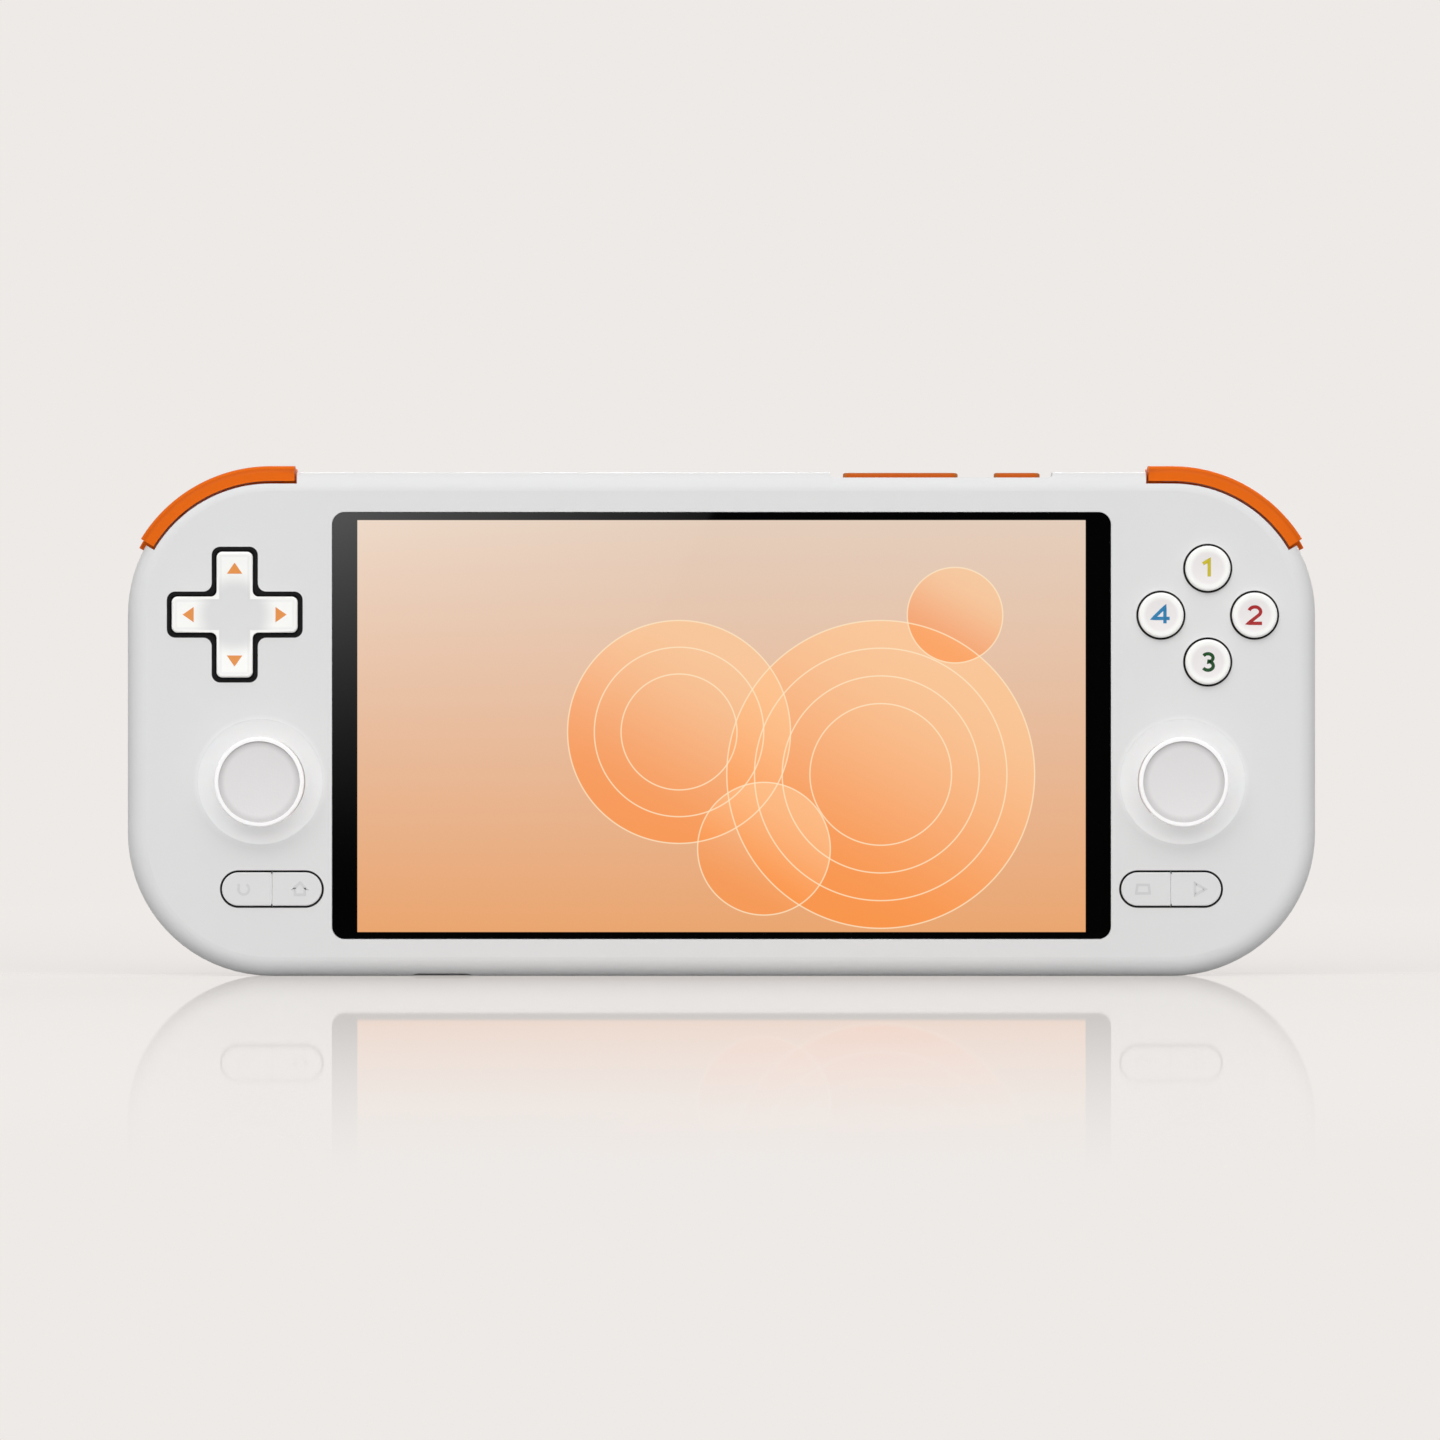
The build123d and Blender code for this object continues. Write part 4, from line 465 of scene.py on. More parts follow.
def orange_plastic(name, base):
    """The orange keys: saturated, with painted shade on the bumpers' outer band and a painted highlight in
    patches along their edges.
    """
    graph = Graph(name)
    bevel = graph.add("ShaderNodeBevel", {"Radius": HIGHLIGHT_WIDTH}, samples=6).outputs[0]
    flat_normal = graph.add("ShaderNodeNewGeometry").outputs["Normal"]
    turn = graph.add("ShaderNodeVectorMath", {0: bevel, 1: flat_normal}, operation="DOT_PRODUCT")
    # Painted highlight: edges are painted paler in patches, where light catches them.
    edge = graph.ramp(turn.outputs["Value"], 0.97, 0.8, 0.0, HIGHLIGHT_SHARE)
    patches = graph.ramp(graph.noise(HIGHLIGHT_PATCH_SIZE, detail=4.0), 0.35, 0.65)
    # Painted shade: the outer band of the bumpers' front is painted darker.
    colour = graph.mix(outer_band_shade(graph), shaded(graph, base, 0.03), BAND_SHADE_ORANGE)
    colour = graph.mix(graph.math("MULTIPLY", edge, patches), colour, EDGE_HIGHLIGHT_ORANGE)
    dull = {"Specular IOR Level": 0.1}
    return moulded_finish(graph, colour, roughness=0.45, grain_depth=FINE_GRAIN_DEPTH, extra=dull)


# The rubber disc of a stick: where the painted shade at its rim lies, its stipple, and the size of its
# duller patches
GRIP_RIM_START = 6.2 * MM
GRIP_RIM_END = 7.5 * MM
STIPPLE_SIZE = 0.42 * MM
STIPPLE_DEPTH = 0.03 * MM
GRIP_PATCH_SIZE = 3 * MM


def grip_rubber(side):
    """The soft disc on a stick: fine stipple, and painted shade at the rim of its dish."""
    graph = Graph(f"{side}_grip_rubber")
    centre = middle(f"{side}_stick_grip")
    away = graph.distance(centre.x, centre.z)
    # Painted shade: the disc is painted darker towards its rim.
    rim = graph.ramp(away, GRIP_RIM_START, GRIP_RIM_END, smooth=True)
    colour = graph.mix(rim, shaded(graph, GRIP_GREY, 0.02), GRIP_RIM_SHADE)
    cells = graph.add("ShaderNodeTexVoronoi", {"Vector": graph.place(), "Scale": 1 / STIPPLE_SIZE})
    normal = graph.bump(cells.outputs["Distance"], 0.35, STIPPLE_DEPTH)
    return graph.surface(
        {
            "Base Color": colour,
            "Roughness": graph.ramp(graph.noise(GRIP_PATCH_SIZE), 0.3, 0.7, 0.62, 0.74),
            "Normal": normal,
            "Sheen Weight": 0.08,
        }
    )


# How far light travels inside the translucent rings
RING_SCATTER = 1.5 * MM


def ring_plastic():
    """The translucent ring round a stick: milky, with a faint painted glow that brightens it and softens its
    shade.
    """
    graph = Graph("ring_plastic")
    # Painted light: the ring glows faintly from its own surface.
    milky_and_glow = {
        "Subsurface Weight": 0.15,
        "Subsurface Scale": RING_SCATTER,
        "Emission Color": RING_WHITE,
        "Emission Strength": 0.29,
    }
    return moulded_finish(graph, shaded(graph, RING_BASE, 0.01), roughness=0.5, extra=milky_and_glow)


# The lit part of the screen, and the discs of its picture: centre X, centre Z, radius, and how solid it is
SCREEN_WIDTH = 137.2 * MM
SCREEN_HEIGHT = 77.6 * MM
SCREEN_MIDDLE_Z = 47.1 * MM
PICTURE_DISCS = (
    (30 * MM, 38 * MM, 29 * MM, 0.75),
    (-8 * MM, 46 * MM, 21 * MM, 0.7),
    (8 * MM, 24 * MM, 12.5 * MM, 0.6),
    (44 * MM, 68 * MM, 9 * MM, 0.65),
)

# The thin rings inside the discs: which disc, and the share of its radius
PICTURE_RINGS = ((0, 0.82), (0, 0.64), (0, 0.46), (1, 0.76), (1, 0.52))
RING_HALF_WIDTH = 0.16 * MM
RING_SHARE = 0.75
SOFT_EDGE = 0.12 * MM
DISC_SLANT = 0.6

# The glass over it: the edge of the lit part, the depth that counts as its face, and the waves in it
LIT_EDGE = 0.03 * MM
GLASS_FACE_DEPTH = 0.05 * MM
SMEAR_SIZE = 9 * MM
WAVE_SIZE = 30 * MM
WAVE_DEPTH = 0.02 * MM


def picture(graph):
    """The screen's picture: a warm gradient under see-through discs with thin pale rings."""
    x = graph.axis("X")
    z = graph.axis("Z")
    low = SCREEN_MIDDLE_Z - SCREEN_HEIGHT / 2
    colour = graph.mix(graph.ramp(z, low, low + SCREEN_HEIGHT), SCREEN_BOTTOM, SCREEN_TOP)
    distances = []
    for centre_x, centre_z, radius, weight in PICTURE_DISCS:
        away = graph.distance(centre_x, centre_z)
        distances.append(away)
        inside = graph.ramp(away, radius - SOFT_EDGE, radius + SOFT_EDGE, weight, 0.0)
        rise = graph.math("SUBTRACT", z, centre_z)
        across = graph.math("SUBTRACT", x, centre_x)
        lean = graph.math("ADD", rise, graph.math("MULTIPLY", across, DISC_SLANT))
        fill = graph.mix(graph.ramp(lean, -radius, radius, smooth=True), DISC_DEEP, DISC_LIGHT)
        colour = graph.mix(inside, colour, fill)
    rings = [(index, 1.0) for index in range(len(PICTURE_DISCS))] + list(PICTURE_RINGS)
    for index, share in rings:
        radius = PICTURE_DISCS[index][2] * share
        off_ring = graph.math("ABSOLUTE", graph.math("SUBTRACT", distances[index], radius))
        line = graph.ramp(off_ring, RING_HALF_WIDTH / 2, RING_HALF_WIDTH, RING_SHARE, 0.0)
        colour = graph.mix(line, colour, LINE_CREAM)
    return colour


def screen_material():
    """Black cover glass with the lit picture under it."""
    graph = Graph("screen_glass_lit")
    lit = graph.math("LESS_THAN", graph.axis("Y"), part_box("screen_glass")[0].y + GLASS_FACE_DEPTH)
    for letter, centre, size in (("X", 0.0, SCREEN_WIDTH), ("Z", SCREEN_MIDDLE_Z, SCREEN_HEIGHT)):
        off_centre = graph.off_middle(letter, centre)
        inside = graph.ramp(off_centre, size / 2 - LIT_EDGE, size / 2 + LIT_EDGE, 1.0, 0.0)
        lit = graph.math("MULTIPLY", lit, inside)
    return graph.surface(
        {
            "Base Color": GLASS_BLACK,
            "Roughness": graph.ramp(graph.noise(SMEAR_SIZE, detail=5.0), 0.35, 0.75, 0.02, 0.04),
            "IOR": 1.5,
            "Emission Color": picture(graph),
            "Emission Strength": lit,
            "Normal": graph.bump(graph.noise(WAVE_SIZE), 0.02, WAVE_DEPTH),
        }
    )


# The drawn lines in metal, and the copper tracks under a board's solder mask
LINE_SIZE = 0.25 * MM
LINE_DEPTH = 0.01 * MM
LINE_STRETCH = (0.05, 1.0, 1.0)
TRACK_SIZE = 4 * MM
TRACK_DEPTH = 0.02 * MM
MASK_SIZE = 2 * MM


def metal(name, colour, roughness):
    """Drawn or turned metal with fine lines along one direction."""
    graph = Graph(name)
    mapping = {"Vector": graph.place(), "Scale": LINE_STRETCH}
    stretched = graph.add("ShaderNodeMapping", mapping, vector_type="POINT").outputs[0]
    lines = graph.noise(LINE_SIZE, 5.0, 0.7, stretched)
    return graph.surface(
        {
            "Base Color": shaded(graph, colour, 0.06),
            "Metallic": 1.0,
            "Roughness": graph.ramp(lines, 0.3, 0.7, roughness - 0.08, roughness + 0.1),
            "Normal": graph.bump(lines, 0.3, LINE_DEPTH),
        }
    )


def board_material():
    """Solder mask with faint copper tracks under it."""
    graph = Graph("board_material")
    tracks = graph.add(
        "ShaderNodeTexBrick",
        {
            "Vector": graph.place(),
            "Scale": 1 / TRACK_SIZE,
            "Mortar Size": 0.03,
            "Color1": MASK_GREEN,
            "Color2": MASK_LIGHT,
            "Mortar": TRACK_GREEN,
        },
    )
    return graph.surface(
        {
            "Base Color": tracks.outputs["Color"],
            "Roughness": graph.ramp(graph.noise(MASK_SIZE), 0.3, 0.7, 0.3, 0.42),
            "Normal": graph.bump(tracks.outputs["Fac"], 0.3, TRACK_DEPTH),
        }
    )


# Edges sharper than this stay sharp when a piece is shaded smoothly
SHARP_DEGREES = 28


def paint(material, *names):
    """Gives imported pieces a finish, and shades their curved faces smoothly."""
    for name in names:
        mesh = nodes[name].data
        mesh.materials.clear()
        mesh.materials.append(material)
        mesh.polygons.foreach_set("use_smooth", [True] * len(mesh.polygons))
        mesh.set_sharp_from_angle(angle=math.radians(SHARP_DEGREES))


def paint_packed_pieces():
    """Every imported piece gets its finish."""
    paint(shell_plastic(), "front_shell", "rear_shell")
    paint(screen_material(), "screen_glass")
    paint(dpad_plastic(), "dpad")
    bezel = plain_plastic("bezel_plastic", BEZEL_BLACK, 0.4, extra={"Specular IOR Level": 0.25})
    paint(bezel, "dpad_bezel")
    for number in range(1, len(MARK_COLOURS) + 1):
        paint(face_key_plastic(number), f"face_button_{number}")
    paint(menu_key_plastic(), *[f"menu_button_{name}" for name in ("back", "home", "tasks", "play")])
    orange_keys = [f"{side}_{key}" for side in SIDES for key in ("bumper", "trigger")]
    paint(orange_plastic("orange_plastic", ORANGE), *orange_keys)
    paint(orange_plastic("side_key_plastic", SIDE_ORANGE), "volume_rocker", "power_button")
    # Painted light: the stick caps glow faintly, to brighten them.
    lit = {"Emission Color": CAP_WHITE, "Emission Strength": 0.09}
    cap = plain_plastic("cap_plastic", CAP_WHITE, 0.4, 0.01, grain_depth=FINE_GRAIN_DEPTH, extra=lit)
    ring = ring_plastic()
    steel = metal("steel", STEEL, 0.3)
    black = plain_plastic("black_plastic", PLASTIC_BLACK, 0.45, 0.08)
    board = board_material()
    for side in SIDES:
        paint(cap, f"{side}_stick_cap")
        paint(grip_rubber(side), f"{side}_stick_grip")
        paint(ring, f"{side}_light_ring")
        paint(steel, f"{side}_stick_shaft", f"{side}_trigger_spring")
        paint(black, f"{side}_stick_base", f"{side}_stick_gimbal", f"{side}_trigger_bracket")
        paint(board, f"{side}_control_board")
    paint(steel, "trigger_pins", "tact_switches", "processor_shield", "usb_c_port", "card_reader")
    paint(steel, "board_screws")
    paint(metal("dark_steel", DARK_STEEL, 0.36), "shell_screws")
    paint(black, "fan_housing", "fan_rotor", "headphone_jack", "speakers", "dpad_pivot")
    paint(board, "main_board", "side_key_board")
    paint(metal("copper", COPPER, 0.25), "heat_pipe")
    paint(metal("aluminium", ALUMINIUM, 0.34), "heat_sink", "mid_frame")
    paint(silicone(), "dpad_membrane", "face_button_membrane", "menu_membranes")
    paint(plain_plastic("foam_tape", FOAM_BLACK, 0.8, 0.1), "glass_gasket")
    paint(plain_plastic("panel_back", PANEL_GREY, 0.4, 0.05), "display_panel")
    paint(plain_plastic("battery_wrap", BATTERY_GREY, 0.42, 0.06), "battery")


def finish_piece(mesh_builder, name, material, body):
    """Turns a bmesh into a piece of the object that rides on a body."""
    mesh = bpy.data.meshes.new(name)
    bmesh.ops.recalc_face_normals(mesh_builder, faces=mesh_builder.faces)
    mesh_builder.to_mesh(mesh)
    mesh_builder.free()
    mesh.materials.append(material)
    piece = bpy.data.objects.new(name, mesh)
    bpy.context.scene.collection.objects.link(piece)
    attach(piece, body)


def resampled(points, step, closed):
    """A line's points, with more between them where they are further apart than a step."""
    ends = list(points[1:]) + ([points[0]] if closed else [])
    dense = []
    for start, end in zip(points, ends):
        count = max(1, math.ceil(math.dist(start, end) / step))
        for index in range(count):
            share = index / count
            x = start[0] + (end[0] - start[0]) * share
            z = start[1] + (end[1] - start[1]) * share
            dense.append((x, z))
    if not closed:
        dense.append(points[-1])
    return dense


def arc(centre, radius, start, end, steps=14):
    """Points along an arc, by angles in degrees."""
    points = []
    for index in range(steps + 1):
        angle = math.radians(start + (end - start) * index / steps)
        points.append((centre[0] + radius * math.cos(angle), centre[1] + radius * math.sin(angle)))
    return points


# Printed marks: the step along a line, the longest mitre, and how far ink rises above and roots in a surface
STROKE_STEP = 0.35 * MM
MITRE_LIMIT = 2.0
INK_RISE = 0.025 * MM
INK_ROOT = 0.05 * MM
INK_GRAIN_DEPTH = 0.004 * MM
INK_EDGE = 0.03 * MM


def add_stroke(builder, points, width, closed, surface):
    """A printed line as a thin solid on a surface: a strip with mitred corners that follows it."""
    points = resampled(points, STROKE_STEP, closed)
    count = len(points)
    sides = []
    for index, point in enumerate(points):
        before = points[index - 1] if index or closed else point
        after = points[(index + 1) % count] if index < count - 1 or closed else point
        into = Vector((point[0] - before[0], point[1] - before[1]))
        out = Vector((after[0] - point[0], after[1] - point[1]))
        into = into.normalized() if into.length else out.normalized()
        out = out.normalized() if out.length else into
        along = (into + out).normalized()
        mitre = 1 / max(along.dot(out), 1 / MITRE_LIMIT)
        normal = Vector((-along.y, along.x)) * (width / 2 * mitre)
        left = (point[0] + normal.x, point[1] + normal.y)
        right = (point[0] - normal.x, point[1] - normal.y)
        sides.append((left, right))
    rows = []
    for pair in sides:
        row = []
        for x, z in pair:
            y = surface(x, z)
            row.append(builder.verts.new((x, y - INK_RISE, z)))
            row.append(builder.verts.new((x, y + INK_ROOT, z)))
        rows.append(row)
    spans = list(zip(rows, rows[1:] + ([rows[0]] if closed else [])))
    for here, there in spans:
        for a, b in ((0, 2), (2, 3), (3, 1), (1, 0)):
            builder.faces.new((here[a], here[b], there[b], there[a]))
    if not closed:
        for row in (rows[0], rows[-1]):
            builder.faces.new((row[0], row[2], row[3], row[1]))


def add_patch(builder, points, surface):
    """A filled outline as a thin solid on a surface."""
    top = [builder.verts.new((x, surface(x, z) - INK_RISE, z)) for x, z in points]
    bottom = [builder.verts.new((x, surface(x, z) + INK_ROOT, z)) for x, z in points]
    builder.faces.new(top)
    builder.faces.new(bottom)
    for index in range(len(points)):
        after = (index + 1) % len(points)
        builder.faces.new((top[index], top[after], bottom[after], bottom[index]))


def dished(centre, lowest_y, radius, depth):
    """The Y of a spherical dish round a centre, from its deepest point and its rim."""
    curvature = (radius**2 + depth**2) / (2 * depth)

    def surface(x, z):
        away = min((x - centre.x) ** 2 + (z - centre.z) ** 2, radius**2)
        return lowest_y - curvature + math.sqrt(curvature**2 - away)

    return surface


def ink(name, colour):
    """Printed colour, with a faint mottle."""
    return plain_plastic(name, colour, 0.4, 0.04, grain_depth=INK_GRAIN_DEPTH, edge=INK_EDGE)


# The marks on the face buttons, drawn in shares of a unit that is wider than tall, and the buttons' dish
MARK_UNIT_Z = 1.55 * MM
MARK_WIDTH_SHARE = 1.22
MARK_UNIT_X = MARK_WIDTH_SHARE * MARK_UNIT_Z
MARK_STROKE = 0.64 * MM
FACE_DISH_RADIUS = 3.3 * MM
FACE_DISH_DEPTH = 0.18 * MM


def digit_lines():
    """The numerals 1 to 4 as lines about (0, 0), with half their height as the unit."""
    one = [(-0.5, 0.55), (0.12, 1), (0.12, -1)]
    two = arc((0, 0.42), 0.58, 165, -40) + [(-0.66, -1), (0.72, -1)]
    three = arc((0, 0.5), 0.5, 150, -80) + arc((0, -0.47), 0.53, 80, -150)
    four = [(0.38, -1), (0.38, 1), (-0.8, -0.4), (0.85, -0.4)]
    return (one, two, three, four)


def print_face_marks():
    """The numerals, each on its own button."""
    for number, (line, colour) in enumerate(zip(digit_lines(), MARK_COLOURS), 1):
        node = f"face_button_{number}"
        centre = middle(node)
        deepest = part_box(node)[0].y + FACE_DISH_DEPTH
        surface = dished(centre, deepest, FACE_DISH_RADIUS, FACE_DISH_DEPTH)
        builder = bmesh.new()
        placed = [(centre.x + x * MARK_UNIT_X, centre.z + z * MARK_UNIT_Z) for x, z in line]
        add_stroke(builder, placed, MARK_STROKE, False, surface)
        mark = ink(f"mark_ink_{number}", colour)
        finish_piece(builder, f"face_mark_{number}", mark, node)


# The arrows on the direction pad, how far the pad stands out of the casing, and its dish
ARROW_BASE = 7.7 * MM
ARROW_APEX = 9.8 * MM
ARROW_HALF = 1.45 * MM
DPAD_RISE = 1.2 * MM
DPAD_DISH_DEPTH = 0.35 * MM


def print_dpad_arrows():
    """Four arrows that point outwards, one on each arm."""
    centre = middle("dpad")
    deepest = FRONT_Y - DPAD_RISE + DPAD_DISH_DEPTH
    surface = dished(centre, deepest, DPAD_HALF_SPAN, DPAD_DISH_DEPTH)
    builder = bmesh.new()
    for turn in range(4):
        angle = math.radians(90 * turn)
        out = Vector((math.cos(angle), math.sin(angle)))
        side = Vector((-out.y, out.x))
        base = out * ARROW_BASE
        corners = (out * ARROW_APEX, base + side * ARROW_HALF, base - side * ARROW_HALF)
        add_patch(builder, [(centre.x + corner.x, centre.z + corner.y) for corner in corners], surface)
    finish_piece(builder, "dpad_arrows", ink("arrow_ink", ARROW_ORANGE), "dpad")


# The marks on the menu buttons, drawn in shares of a unit, and how far the buttons stand out
MENU_RISE = 0.5 * MM
ICON_UNIT = 1.06 * MM
ICON_STROKE = 0.48 * MM


def menu_face(x, z):
    """The Y of the menu buttons' flat face, which is the same at every place on it."""
    return FRONT_Y - MENU_RISE


def menu_icons():
    """For each menu button: its name, the lines of its mark, and whether they close."""
    turn_back = arc((0, 0), 0.95, 60, -200) + [(-0.9, 0.95)]
    house = [(-1.2, 0), (0, 1.15), (1.2, 0), (0.85, 0), (0.85, -1), (-0.85, -1), (-0.85, 0)]
    window = [(-1.2, -0.75), (1.2, -0.75), (1, 0.75), (-1, 0.75)]
    play = [(-0.75, 1.05), (-0.75, -1.05), (1.1, 0)]
    return (
        ("back", turn_back, False),
        ("home", house, True),
        ("tasks", window, True),
        ("play", play, True),
    )


def print_menu_marks():
    """A faint mark on each menu button."""
    mark = ink("icon_ink", ICON_GREY)
    for name, line, closed in menu_icons():
        node = f"menu_button_{name}"
        centre = middle(node)
        builder = bmesh.new()
        placed = [(centre.x + x * ICON_UNIT, centre.z + z * ICON_UNIT) for x, z in line]
        add_stroke(builder, placed, ICON_STROKE, closed, menu_face)
        finish_piece(builder, f"menu_mark_{name}", mark, node)


def add_slab(builder, low, high, cut):
    """A small slab between two corners, with its edges along Z cut back."""
    x0, y0, z0 = low
    x1, y1, z1 = high
    outline = (
        (x0 + cut, y0),
        (x1 - cut, y0),
        (x1, y0 + cut),
        (x1, y1 - cut),
        (x1 - cut, y1),
        (x0 + cut, y1),
        (x0, y1 - cut),
        (x0, y0 + cut),
    )
    lower = [builder.verts.new((x, y, z0)) for x, y in outline]
    upper = [builder.verts.new((x, y, z1)) for x, y in outline]
    builder.faces.new(lower)
    builder.faces.new(upper)
    for index in range(len(outline)):
        after = (index + 1) % len(outline)
        builder.faces.new((lower[index], lower[after], upper[after], upper[index]))


# Contacts of the charging port: as many pads on each face of its tongue
CONTACT_COUNT = 12
CONTACT_PITCH = 0.5 * MM
CONTACT_WIDTH = 0.26 * MM
CONTACT_LENGTH = 3.6 * MM
CONTACT_INSET = 1.4 * MM
CONTACT_ROOT = 0.05 * MM
CONTACT_RISE = 0.04 * MM
CONTACT_CUT = 0.02 * MM
TONGUE_HALF = 0.35 * MM


def fit_port_contacts(gold):
    """A row of contacts on each face of the charging port's tongue."""
    centre = middle("usb_c_port")
    start_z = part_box("usb_c_port")[0].z + CONTACT_INSET
    builder = bmesh.new()
    for face in (-1, 1):
        for index in range(CONTACT_COUNT):
            x = centre.x + (index - (CONTACT_COUNT - 1) / 2) * CONTACT_PITCH
            near = centre.y + face * (TONGUE_HALF - CONTACT_ROOT)
            far = centre.y + face * (TONGUE_HALF + CONTACT_RISE)
            add_slab(
                builder,
                (x - CONTACT_WIDTH / 2, min(near, far), start_z),
                (x + CONTACT_WIDTH / 2, max(near, far), start_z + CONTACT_LENGTH),
                CONTACT_CUT,
            )
    finish_piece(builder, "usb_contacts", gold, "root")


# The metal sleeve inside the audio jack
SLEEVE_INNER = 1.72 * MM
SLEEVE_OUTER = 1.8 * MM
SLEEVE_START = 0.5 * MM
SLEEVE_END = 3.5 * MM
SLEEVE_SIDES = 48


def add_ring(builder, centre, inner, outer, start_z, end_z, segments):
    """A short tube along Z."""
    loops = []
    for radius, z in ((inner, start_z), (outer, start_z), (outer, end_z), (inner, end_z)):
        loop = []
        for index in range(segments):
            angle = 2 * math.pi * index / segments
            place = (centre.x + radius * math.cos(angle), centre.y + radius * math.sin(angle), z)
            loop.append(builder.verts.new(place))
        loops.append(loop)
    for here, there in zip(loops, loops[1:] + loops[:1]):
        for index in range(segments):
            after = (index + 1) % segments
            builder.faces.new((here[index], here[after], there[after], there[index]))


def fit_jack_sleeve(gold):
    """The sleeve that a plug touches, just inside the jack's mouth."""
    mouth_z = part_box("headphone_jack")[0].z
    builder = bmesh.new()
    start_z = mouth_z + SLEEVE_START
    end_z = mouth_z + SLEEVE_END
    add_ring(builder, middle("headphone_jack"), SLEEVE_INNER, SLEEVE_OUTER, start_z, end_z, SLEEVE_SIDES)
    finish_piece(builder, "jack_sleeve", gold, "root")


def fit_details():
    """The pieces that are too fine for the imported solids."""
    print_face_marks()
    print_dpad_arrows()
    print_menu_marks()
    gold = metal("contact_gold", GOLD, 0.28)
    fit_port_contacts(gold)
    fit_jack_sleeve(gold)


# The camera looks straight at the front, level with the middle of the picture
PICTURE_PIXELS = 1440
PIXEL = 0.1884 * MM
CAMERA_DISTANCE = 2.5
CAMERA_X = -0.28 * MM
CAMERA_Z = 48.25 * MM
SENSOR = 36.0
FAR_CLIP = 100


def place_camera():
    """A level camera, far enough away for the photograph's flat view."""
    data = bpy.data.cameras.new("camera")
    data.sensor_width = SENSOR
    data.lens = SENSOR * CAMERA_DISTANCE / (PICTURE_PIXELS * PIXEL)
    data.clip_end = FAR_CLIP
    camera = bpy.data.objects.new("camera", data)
    camera.location = (CAMERA_X, FRONT_Y - CAMERA_DISTANCE, CAMERA_Z)
    camera.rotation_euler = (math.radians(90), 0, 0)
    bpy.context.scene.collection.objects.link(camera)
    bpy.context.scene.camera = camera


# The floor: the background's colour, the object's soft shadow, and a faint mirror image in front of it
FLOOR_SIZE = 30.0
FLOOR_CELLS = 8
SHADOW_NEAR = 0.2
SHADOW_FAR = 1.0
SHADOW_SHARE = 0.35
MIRROR_SHARE = 0.42
MIRROR_HEIGHT = 38 * MM
MIRROR_BEHIND = 20 * MM
MIRROR_AHEAD = 1.2
MIRROR_BLUR = 0.02
MIRROR_FALL = 1.6
GRAZING_START = 0.86
GRAZING_END = 0.95

# What the glass mirrors from behind the camera is dark: how dark, and where on the floor that starts
DARK_SIDE = 0.01
DARK_FLOOR_START = -0.2
DARK_FLOOR_END = -0.4


def floor_material():
    """The background's colour, with the object's shadow and its mirror image, which fades with height."""
    graph = Graph("floor")
    x = graph.axis("X")
    y = graph.axis("Y")
    away = graph.math("SUBTRACT", FRONT_Y, y)
    reach = graph.math("SUBTRACT", CAMERA_DISTANCE, away)
    height = graph.math("DIVIDE", graph.math("MULTIPLY", away, CAMERA_Z), reach)
    fade = graph.ramp(height, 0.0, MIRROR_HEIGHT, 1.0, 0.0)
    fade = graph.math("POWER", fade, MIRROR_FALL)
    fade = graph.math("MULTIPLY", fade, graph.math("GREATER_THAN", away, -MIRROR_BEHIND))
    fade = graph.math("MULTIPLY", fade, graph.math("LESS_THAN", away, MIRROR_AHEAD))
    facing = graph.add("ShaderNodeLayerWeight", {"Blend": 0.5}).outputs["Facing"]
    grazing = graph.ramp(facing, GRAZING_START, GRAZING_END)
    mirror = graph.math("MULTIPLY", graph.math("MULTIPLY", fade, grazing), MIRROR_SHARE, clamp=True)
    shadow = graph.ramp(graph.length(x, y), SHADOW_NEAR, SHADOW_FAR, SHADOW_SHARE, 0.0)
    glow = graph.add("ShaderNodeEmission", {"Color": BACKGROUND, "Strength": 1.0})
    matt = graph.add("ShaderNodeBsdfDiffuse", {"Color": BACKGROUND})
    base = graph.add("ShaderNodeMixShader", {0: shadow, 1: glow.outputs[0], 2: matt.outputs[0]})
    gloss = graph.add("ShaderNodeBsdfGlossy", {"Color": MIRROR_WHITE, "Roughness": MIRROR_BLUR})
    seen = graph.add("ShaderNodeMixShader", {0: mirror, 1: base.outputs[0], 2: gloss.outputs[0]})
    bounce = graph.add("ShaderNodeBsdfDiffuse", {"Color": FLOOR_BOUNCE})
    path = graph.add("ShaderNodeLightPath").outputs
    direct = graph.math("MAXIMUM", path["Is Camera Ray"], path["Is Glossy Ray"])
    direct = graph.math("MAXIMUM", direct, path["Is Transmission Ray"])
    final = graph.add("ShaderNodeMixShader", {0: direct, 1: bounce.outputs[0], 2: seen.outputs[0]})
    ahead = graph.ramp(y, DARK_FLOOR_START, DARK_FLOOR_END)
    ahead = graph.math("MULTIPLY", ahead, path["Is Glossy Ray"])
    shade = graph.add("ShaderNodeEmission", {"Color": BACKGROUND, "Strength": DARK_SIDE})
    final = graph.add("ShaderNodeMixShader", {0: ahead, 1: final.outputs[0], 2: shade.outputs[0]})
    graph.tree.links.new(final.outputs[0], graph.output.inputs["Surface"])
    return graph.material


def lay_floor():
    """A flat floor at the object's foot, which only the renders have."""
    builder = bmesh.new()
    half = FLOOR_SIZE / 2
    bmesh.ops.create_grid(builder, x_segments=FLOOR_CELLS, y_segments=FLOOR_CELLS, size=half)
    mesh = bpy.data.meshes.new("floor")
    builder.to_mesh(mesh)
    builder.free()
    mesh.materials.append(floor_material())
    floor = bpy.data.objects.new("floor", mesh)
    bpy.context.scene.collection.objects.link(floor)


class World(Graph):
    """The node tree of the studio round the object."""

    def __init__(self, name):
        self.world = bpy.data.worlds.new(name)
        bpy.context.scene.world = self.world
        self.world.use_nodes = True
        self.tree = self.world.node_tree
        self.tree.nodes.clear()
        self.output = self.tree.nodes.new("ShaderNodeOutputWorld")


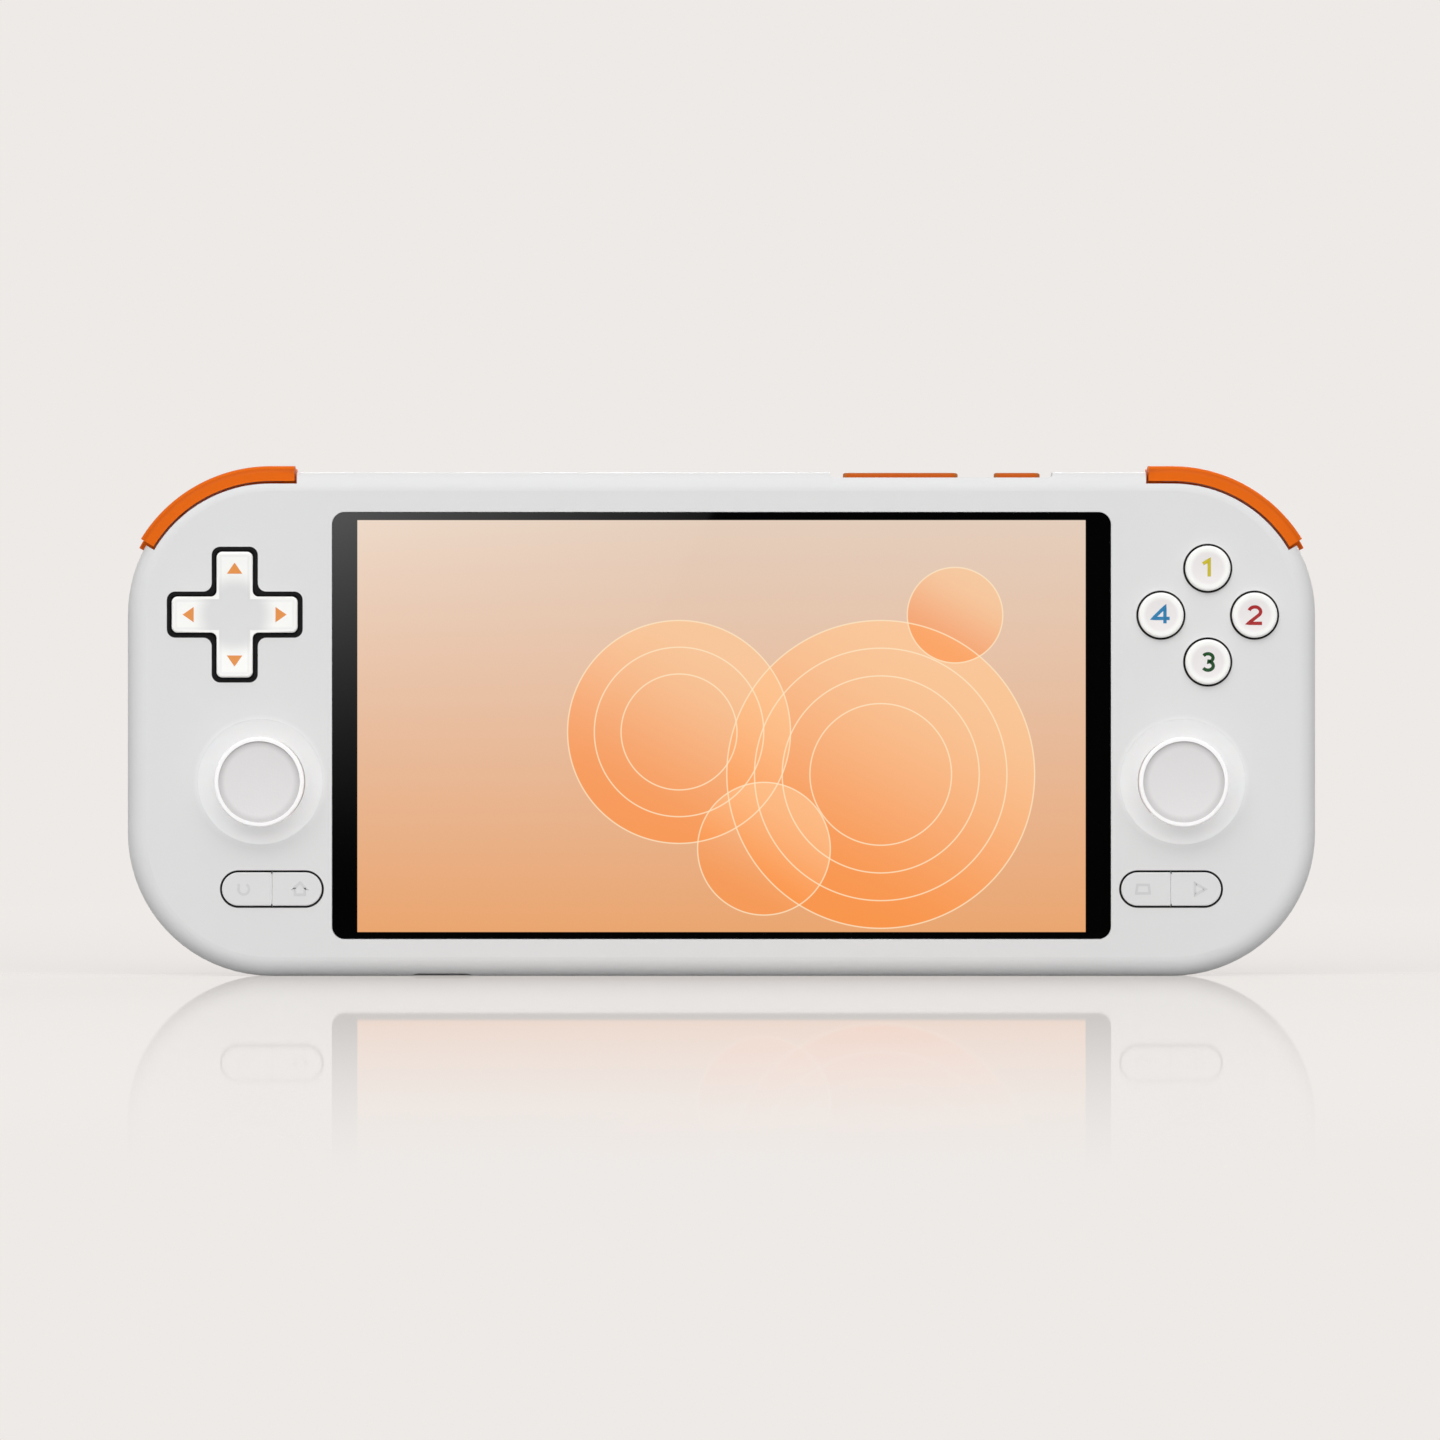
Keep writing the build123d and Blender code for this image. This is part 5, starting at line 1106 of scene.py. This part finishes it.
# The even light: how strong from below, from above, from the sides as a share, and from the front besides
LIGHT_BELOW = 0.36
LIGHT_ABOVE = 1.02
LIGHT_SIDE_SHARE = 0.25
LIGHT_FRONT = 1.0


def light_world():
    """Even light that grows upwards, a dark side behind the camera for gloss, and the plain background."""
    graph = World("studio")
    direction = graph.add("ShaderNodeTexCoord").outputs["Generated"]
    x = graph.axis("X", direction)
    y = graph.axis("Y", direction)
    z = graph.axis("Z", direction)
    upward = graph.ramp(z, -0.6, 0.9, LIGHT_BELOW, LIGHT_ABOVE)
    sideways = graph.ramp(graph.math("ABSOLUTE", x), 0.3, 1.0, 1.0, LIGHT_SIDE_SHARE)
    frontal = graph.ramp(y, -0.3, -1.0, 0.0, LIGHT_FRONT)
    strength = graph.math("ADD", graph.math("MULTIPLY", upward, sideways), frontal)
    ambient = graph.add("ShaderNodeBackground", {"Strength": strength})
    behind = graph.ramp(y, -0.85, -0.35, DARK_SIDE, 1.0, smooth=True)
    mirrored = graph.add("ShaderNodeBackground", {"Color": BACKGROUND, "Strength": behind})
    plain = graph.add("ShaderNodeBackground", {"Color": BACKGROUND})
    path = graph.add("ShaderNodeLightPath").outputs
    glossy = path["Is Glossy Ray"]
    lit = graph.add("ShaderNodeMixShader", {0: glossy, 1: ambient.outputs[0], 2: mirrored.outputs[0]})
    direct = graph.math("MAXIMUM", path["Is Camera Ray"], path["Is Transmission Ray"])
    seen = graph.add("ShaderNodeMixShader", {0: direct, 1: lit.outputs[0], 2: plain.outputs[0]})
    graph.tree.links.new(seen.outputs[0], graph.output.inputs[0])


# The lamps: name, place and size in metres, power in watts, and the place that all of them face
LAMPS = (
    ("key", (-0.1, -1.6, 0.95), 2.2, 1.2, 14.2),
    ("back", (0.4, 1.8, 0.75), 1.2, 0.7, 11.0),
)
LAMP_TARGET = (0, 0, 50 * MM)


def add_lamp(name, place, width, height, power):
    """A soft rectangular lamp that the camera doesn't see."""
    data = bpy.data.lights.new(name, "AREA")
    data.shape = "RECTANGLE"
    data.size = width
    data.size_y = height
    data.energy = power
    lamp = bpy.data.objects.new(name, data)
    lamp.location = place
    direction = Vector(LAMP_TARGET) - Vector(place)
    lamp.rotation_euler = direction.to_track_quat("-Z", "Y").to_euler()
    lamp.visible_camera = False
    bpy.context.scene.collection.objects.link(lamp)


# A pale card in front of the glass, which only shows as the sheen in the glass's upper left corner
CARD_AWAY = 0.45
CARD_GROWTH = 1 + CARD_AWAY / CAMERA_DISTANCE
CARD_GLOW = 2.0
CARD_LEFT = -95 * MM
CARD_RIGHT = 3 * MM
CARD_LOW = -5 * MM
CARD_HIGH = 110 * MM

# The sheen's shape on the glass: how it fades downwards and to the right, and the slanted cut where it ends
SHEEN_LOW = 10 * MM
SHEEN_HIGH = 86 * MM
SHEEN_FALL = 2.5
SHEEN_RIGHT = 20 * MM
SHEEN_LEFT = -71 * MM
SHEEN_FALL_ALONG = 1.55
CUT_LEAN = 0.55
CUT_TOP = 87 * MM
CUT_START = -2.4 * MM
CUT_END = -1.6 * MM


def card_material():
    """A glow that fades downwards and to the right, and ends at a slanted cut."""
    graph = Graph("sheen_card")
    x = graph.axis("X")
    z = graph.axis("Z")
    down = graph.math("POWER", graph.ramp(z, SHEEN_LOW, SHEEN_HIGH), SHEEN_FALL)
    along = graph.math("POWER", graph.ramp(x, SHEEN_RIGHT, SHEEN_LEFT), SHEEN_FALL_ALONG)
    slant = graph.math("MULTIPLY", graph.math("SUBTRACT", z, CUT_TOP), CUT_LEAN)
    side = graph.ramp(graph.math("SUBTRACT", x, slant), CUT_START, CUT_END, CARD_GLOW, 0.0)
    glow = graph.math("MULTIPLY", graph.math("MULTIPLY", down, along), side)
    shine = graph.add("ShaderNodeEmission", {"Strength": glow})
    clear = graph.add("ShaderNodeBsdfTransparent")
    both = graph.add("ShaderNodeAddShader", {0: shine.outputs[0], 1: clear.outputs[0]})
    graph.tree.links.new(both.outputs[0], graph.output.inputs["Surface"])
    return graph.material


def hang_card():
    """The card stands where the camera sees it in the glass, enlarged as its distance needs."""
    builder = bmesh.new()
    corners = (
        (CARD_LEFT, CARD_LOW),
        (CARD_RIGHT, CARD_LOW),
        (CARD_RIGHT, CARD_HIGH),
        (CARD_LEFT, CARD_HIGH),
    )
    builder.faces.new([builder.verts.new((x, 0, z)) for x, z in corners])
    mesh = bpy.data.meshes.new("sheen_card")
    builder.to_mesh(mesh)
    builder.free()
    mesh.materials.append(card_material())
    card = bpy.data.objects.new("sheen_card", mesh)
    card.scale = (CARD_GROWTH, 1.0, CARD_GROWTH)
    card.location = (0, FRONT_Y - CARD_AWAY, -CAMERA_Z * (CARD_GROWTH - 1))
    bpy.context.scene.collection.objects.link(card)
    card.visible_camera = False
    card.visible_diffuse = False
    card.visible_shadow = False
    card.visible_transmission = False


def light_object():
    """The studio's even light, the card and the lamps."""
    light_world()
    hang_card()
    for lamp in LAMPS:
        add_lamp(*lamp)


paint_packed_pieces()
fit_details()
place_camera()
lay_floor()
light_object()
bpy.context.scene.view_settings.view_transform = "Standard"
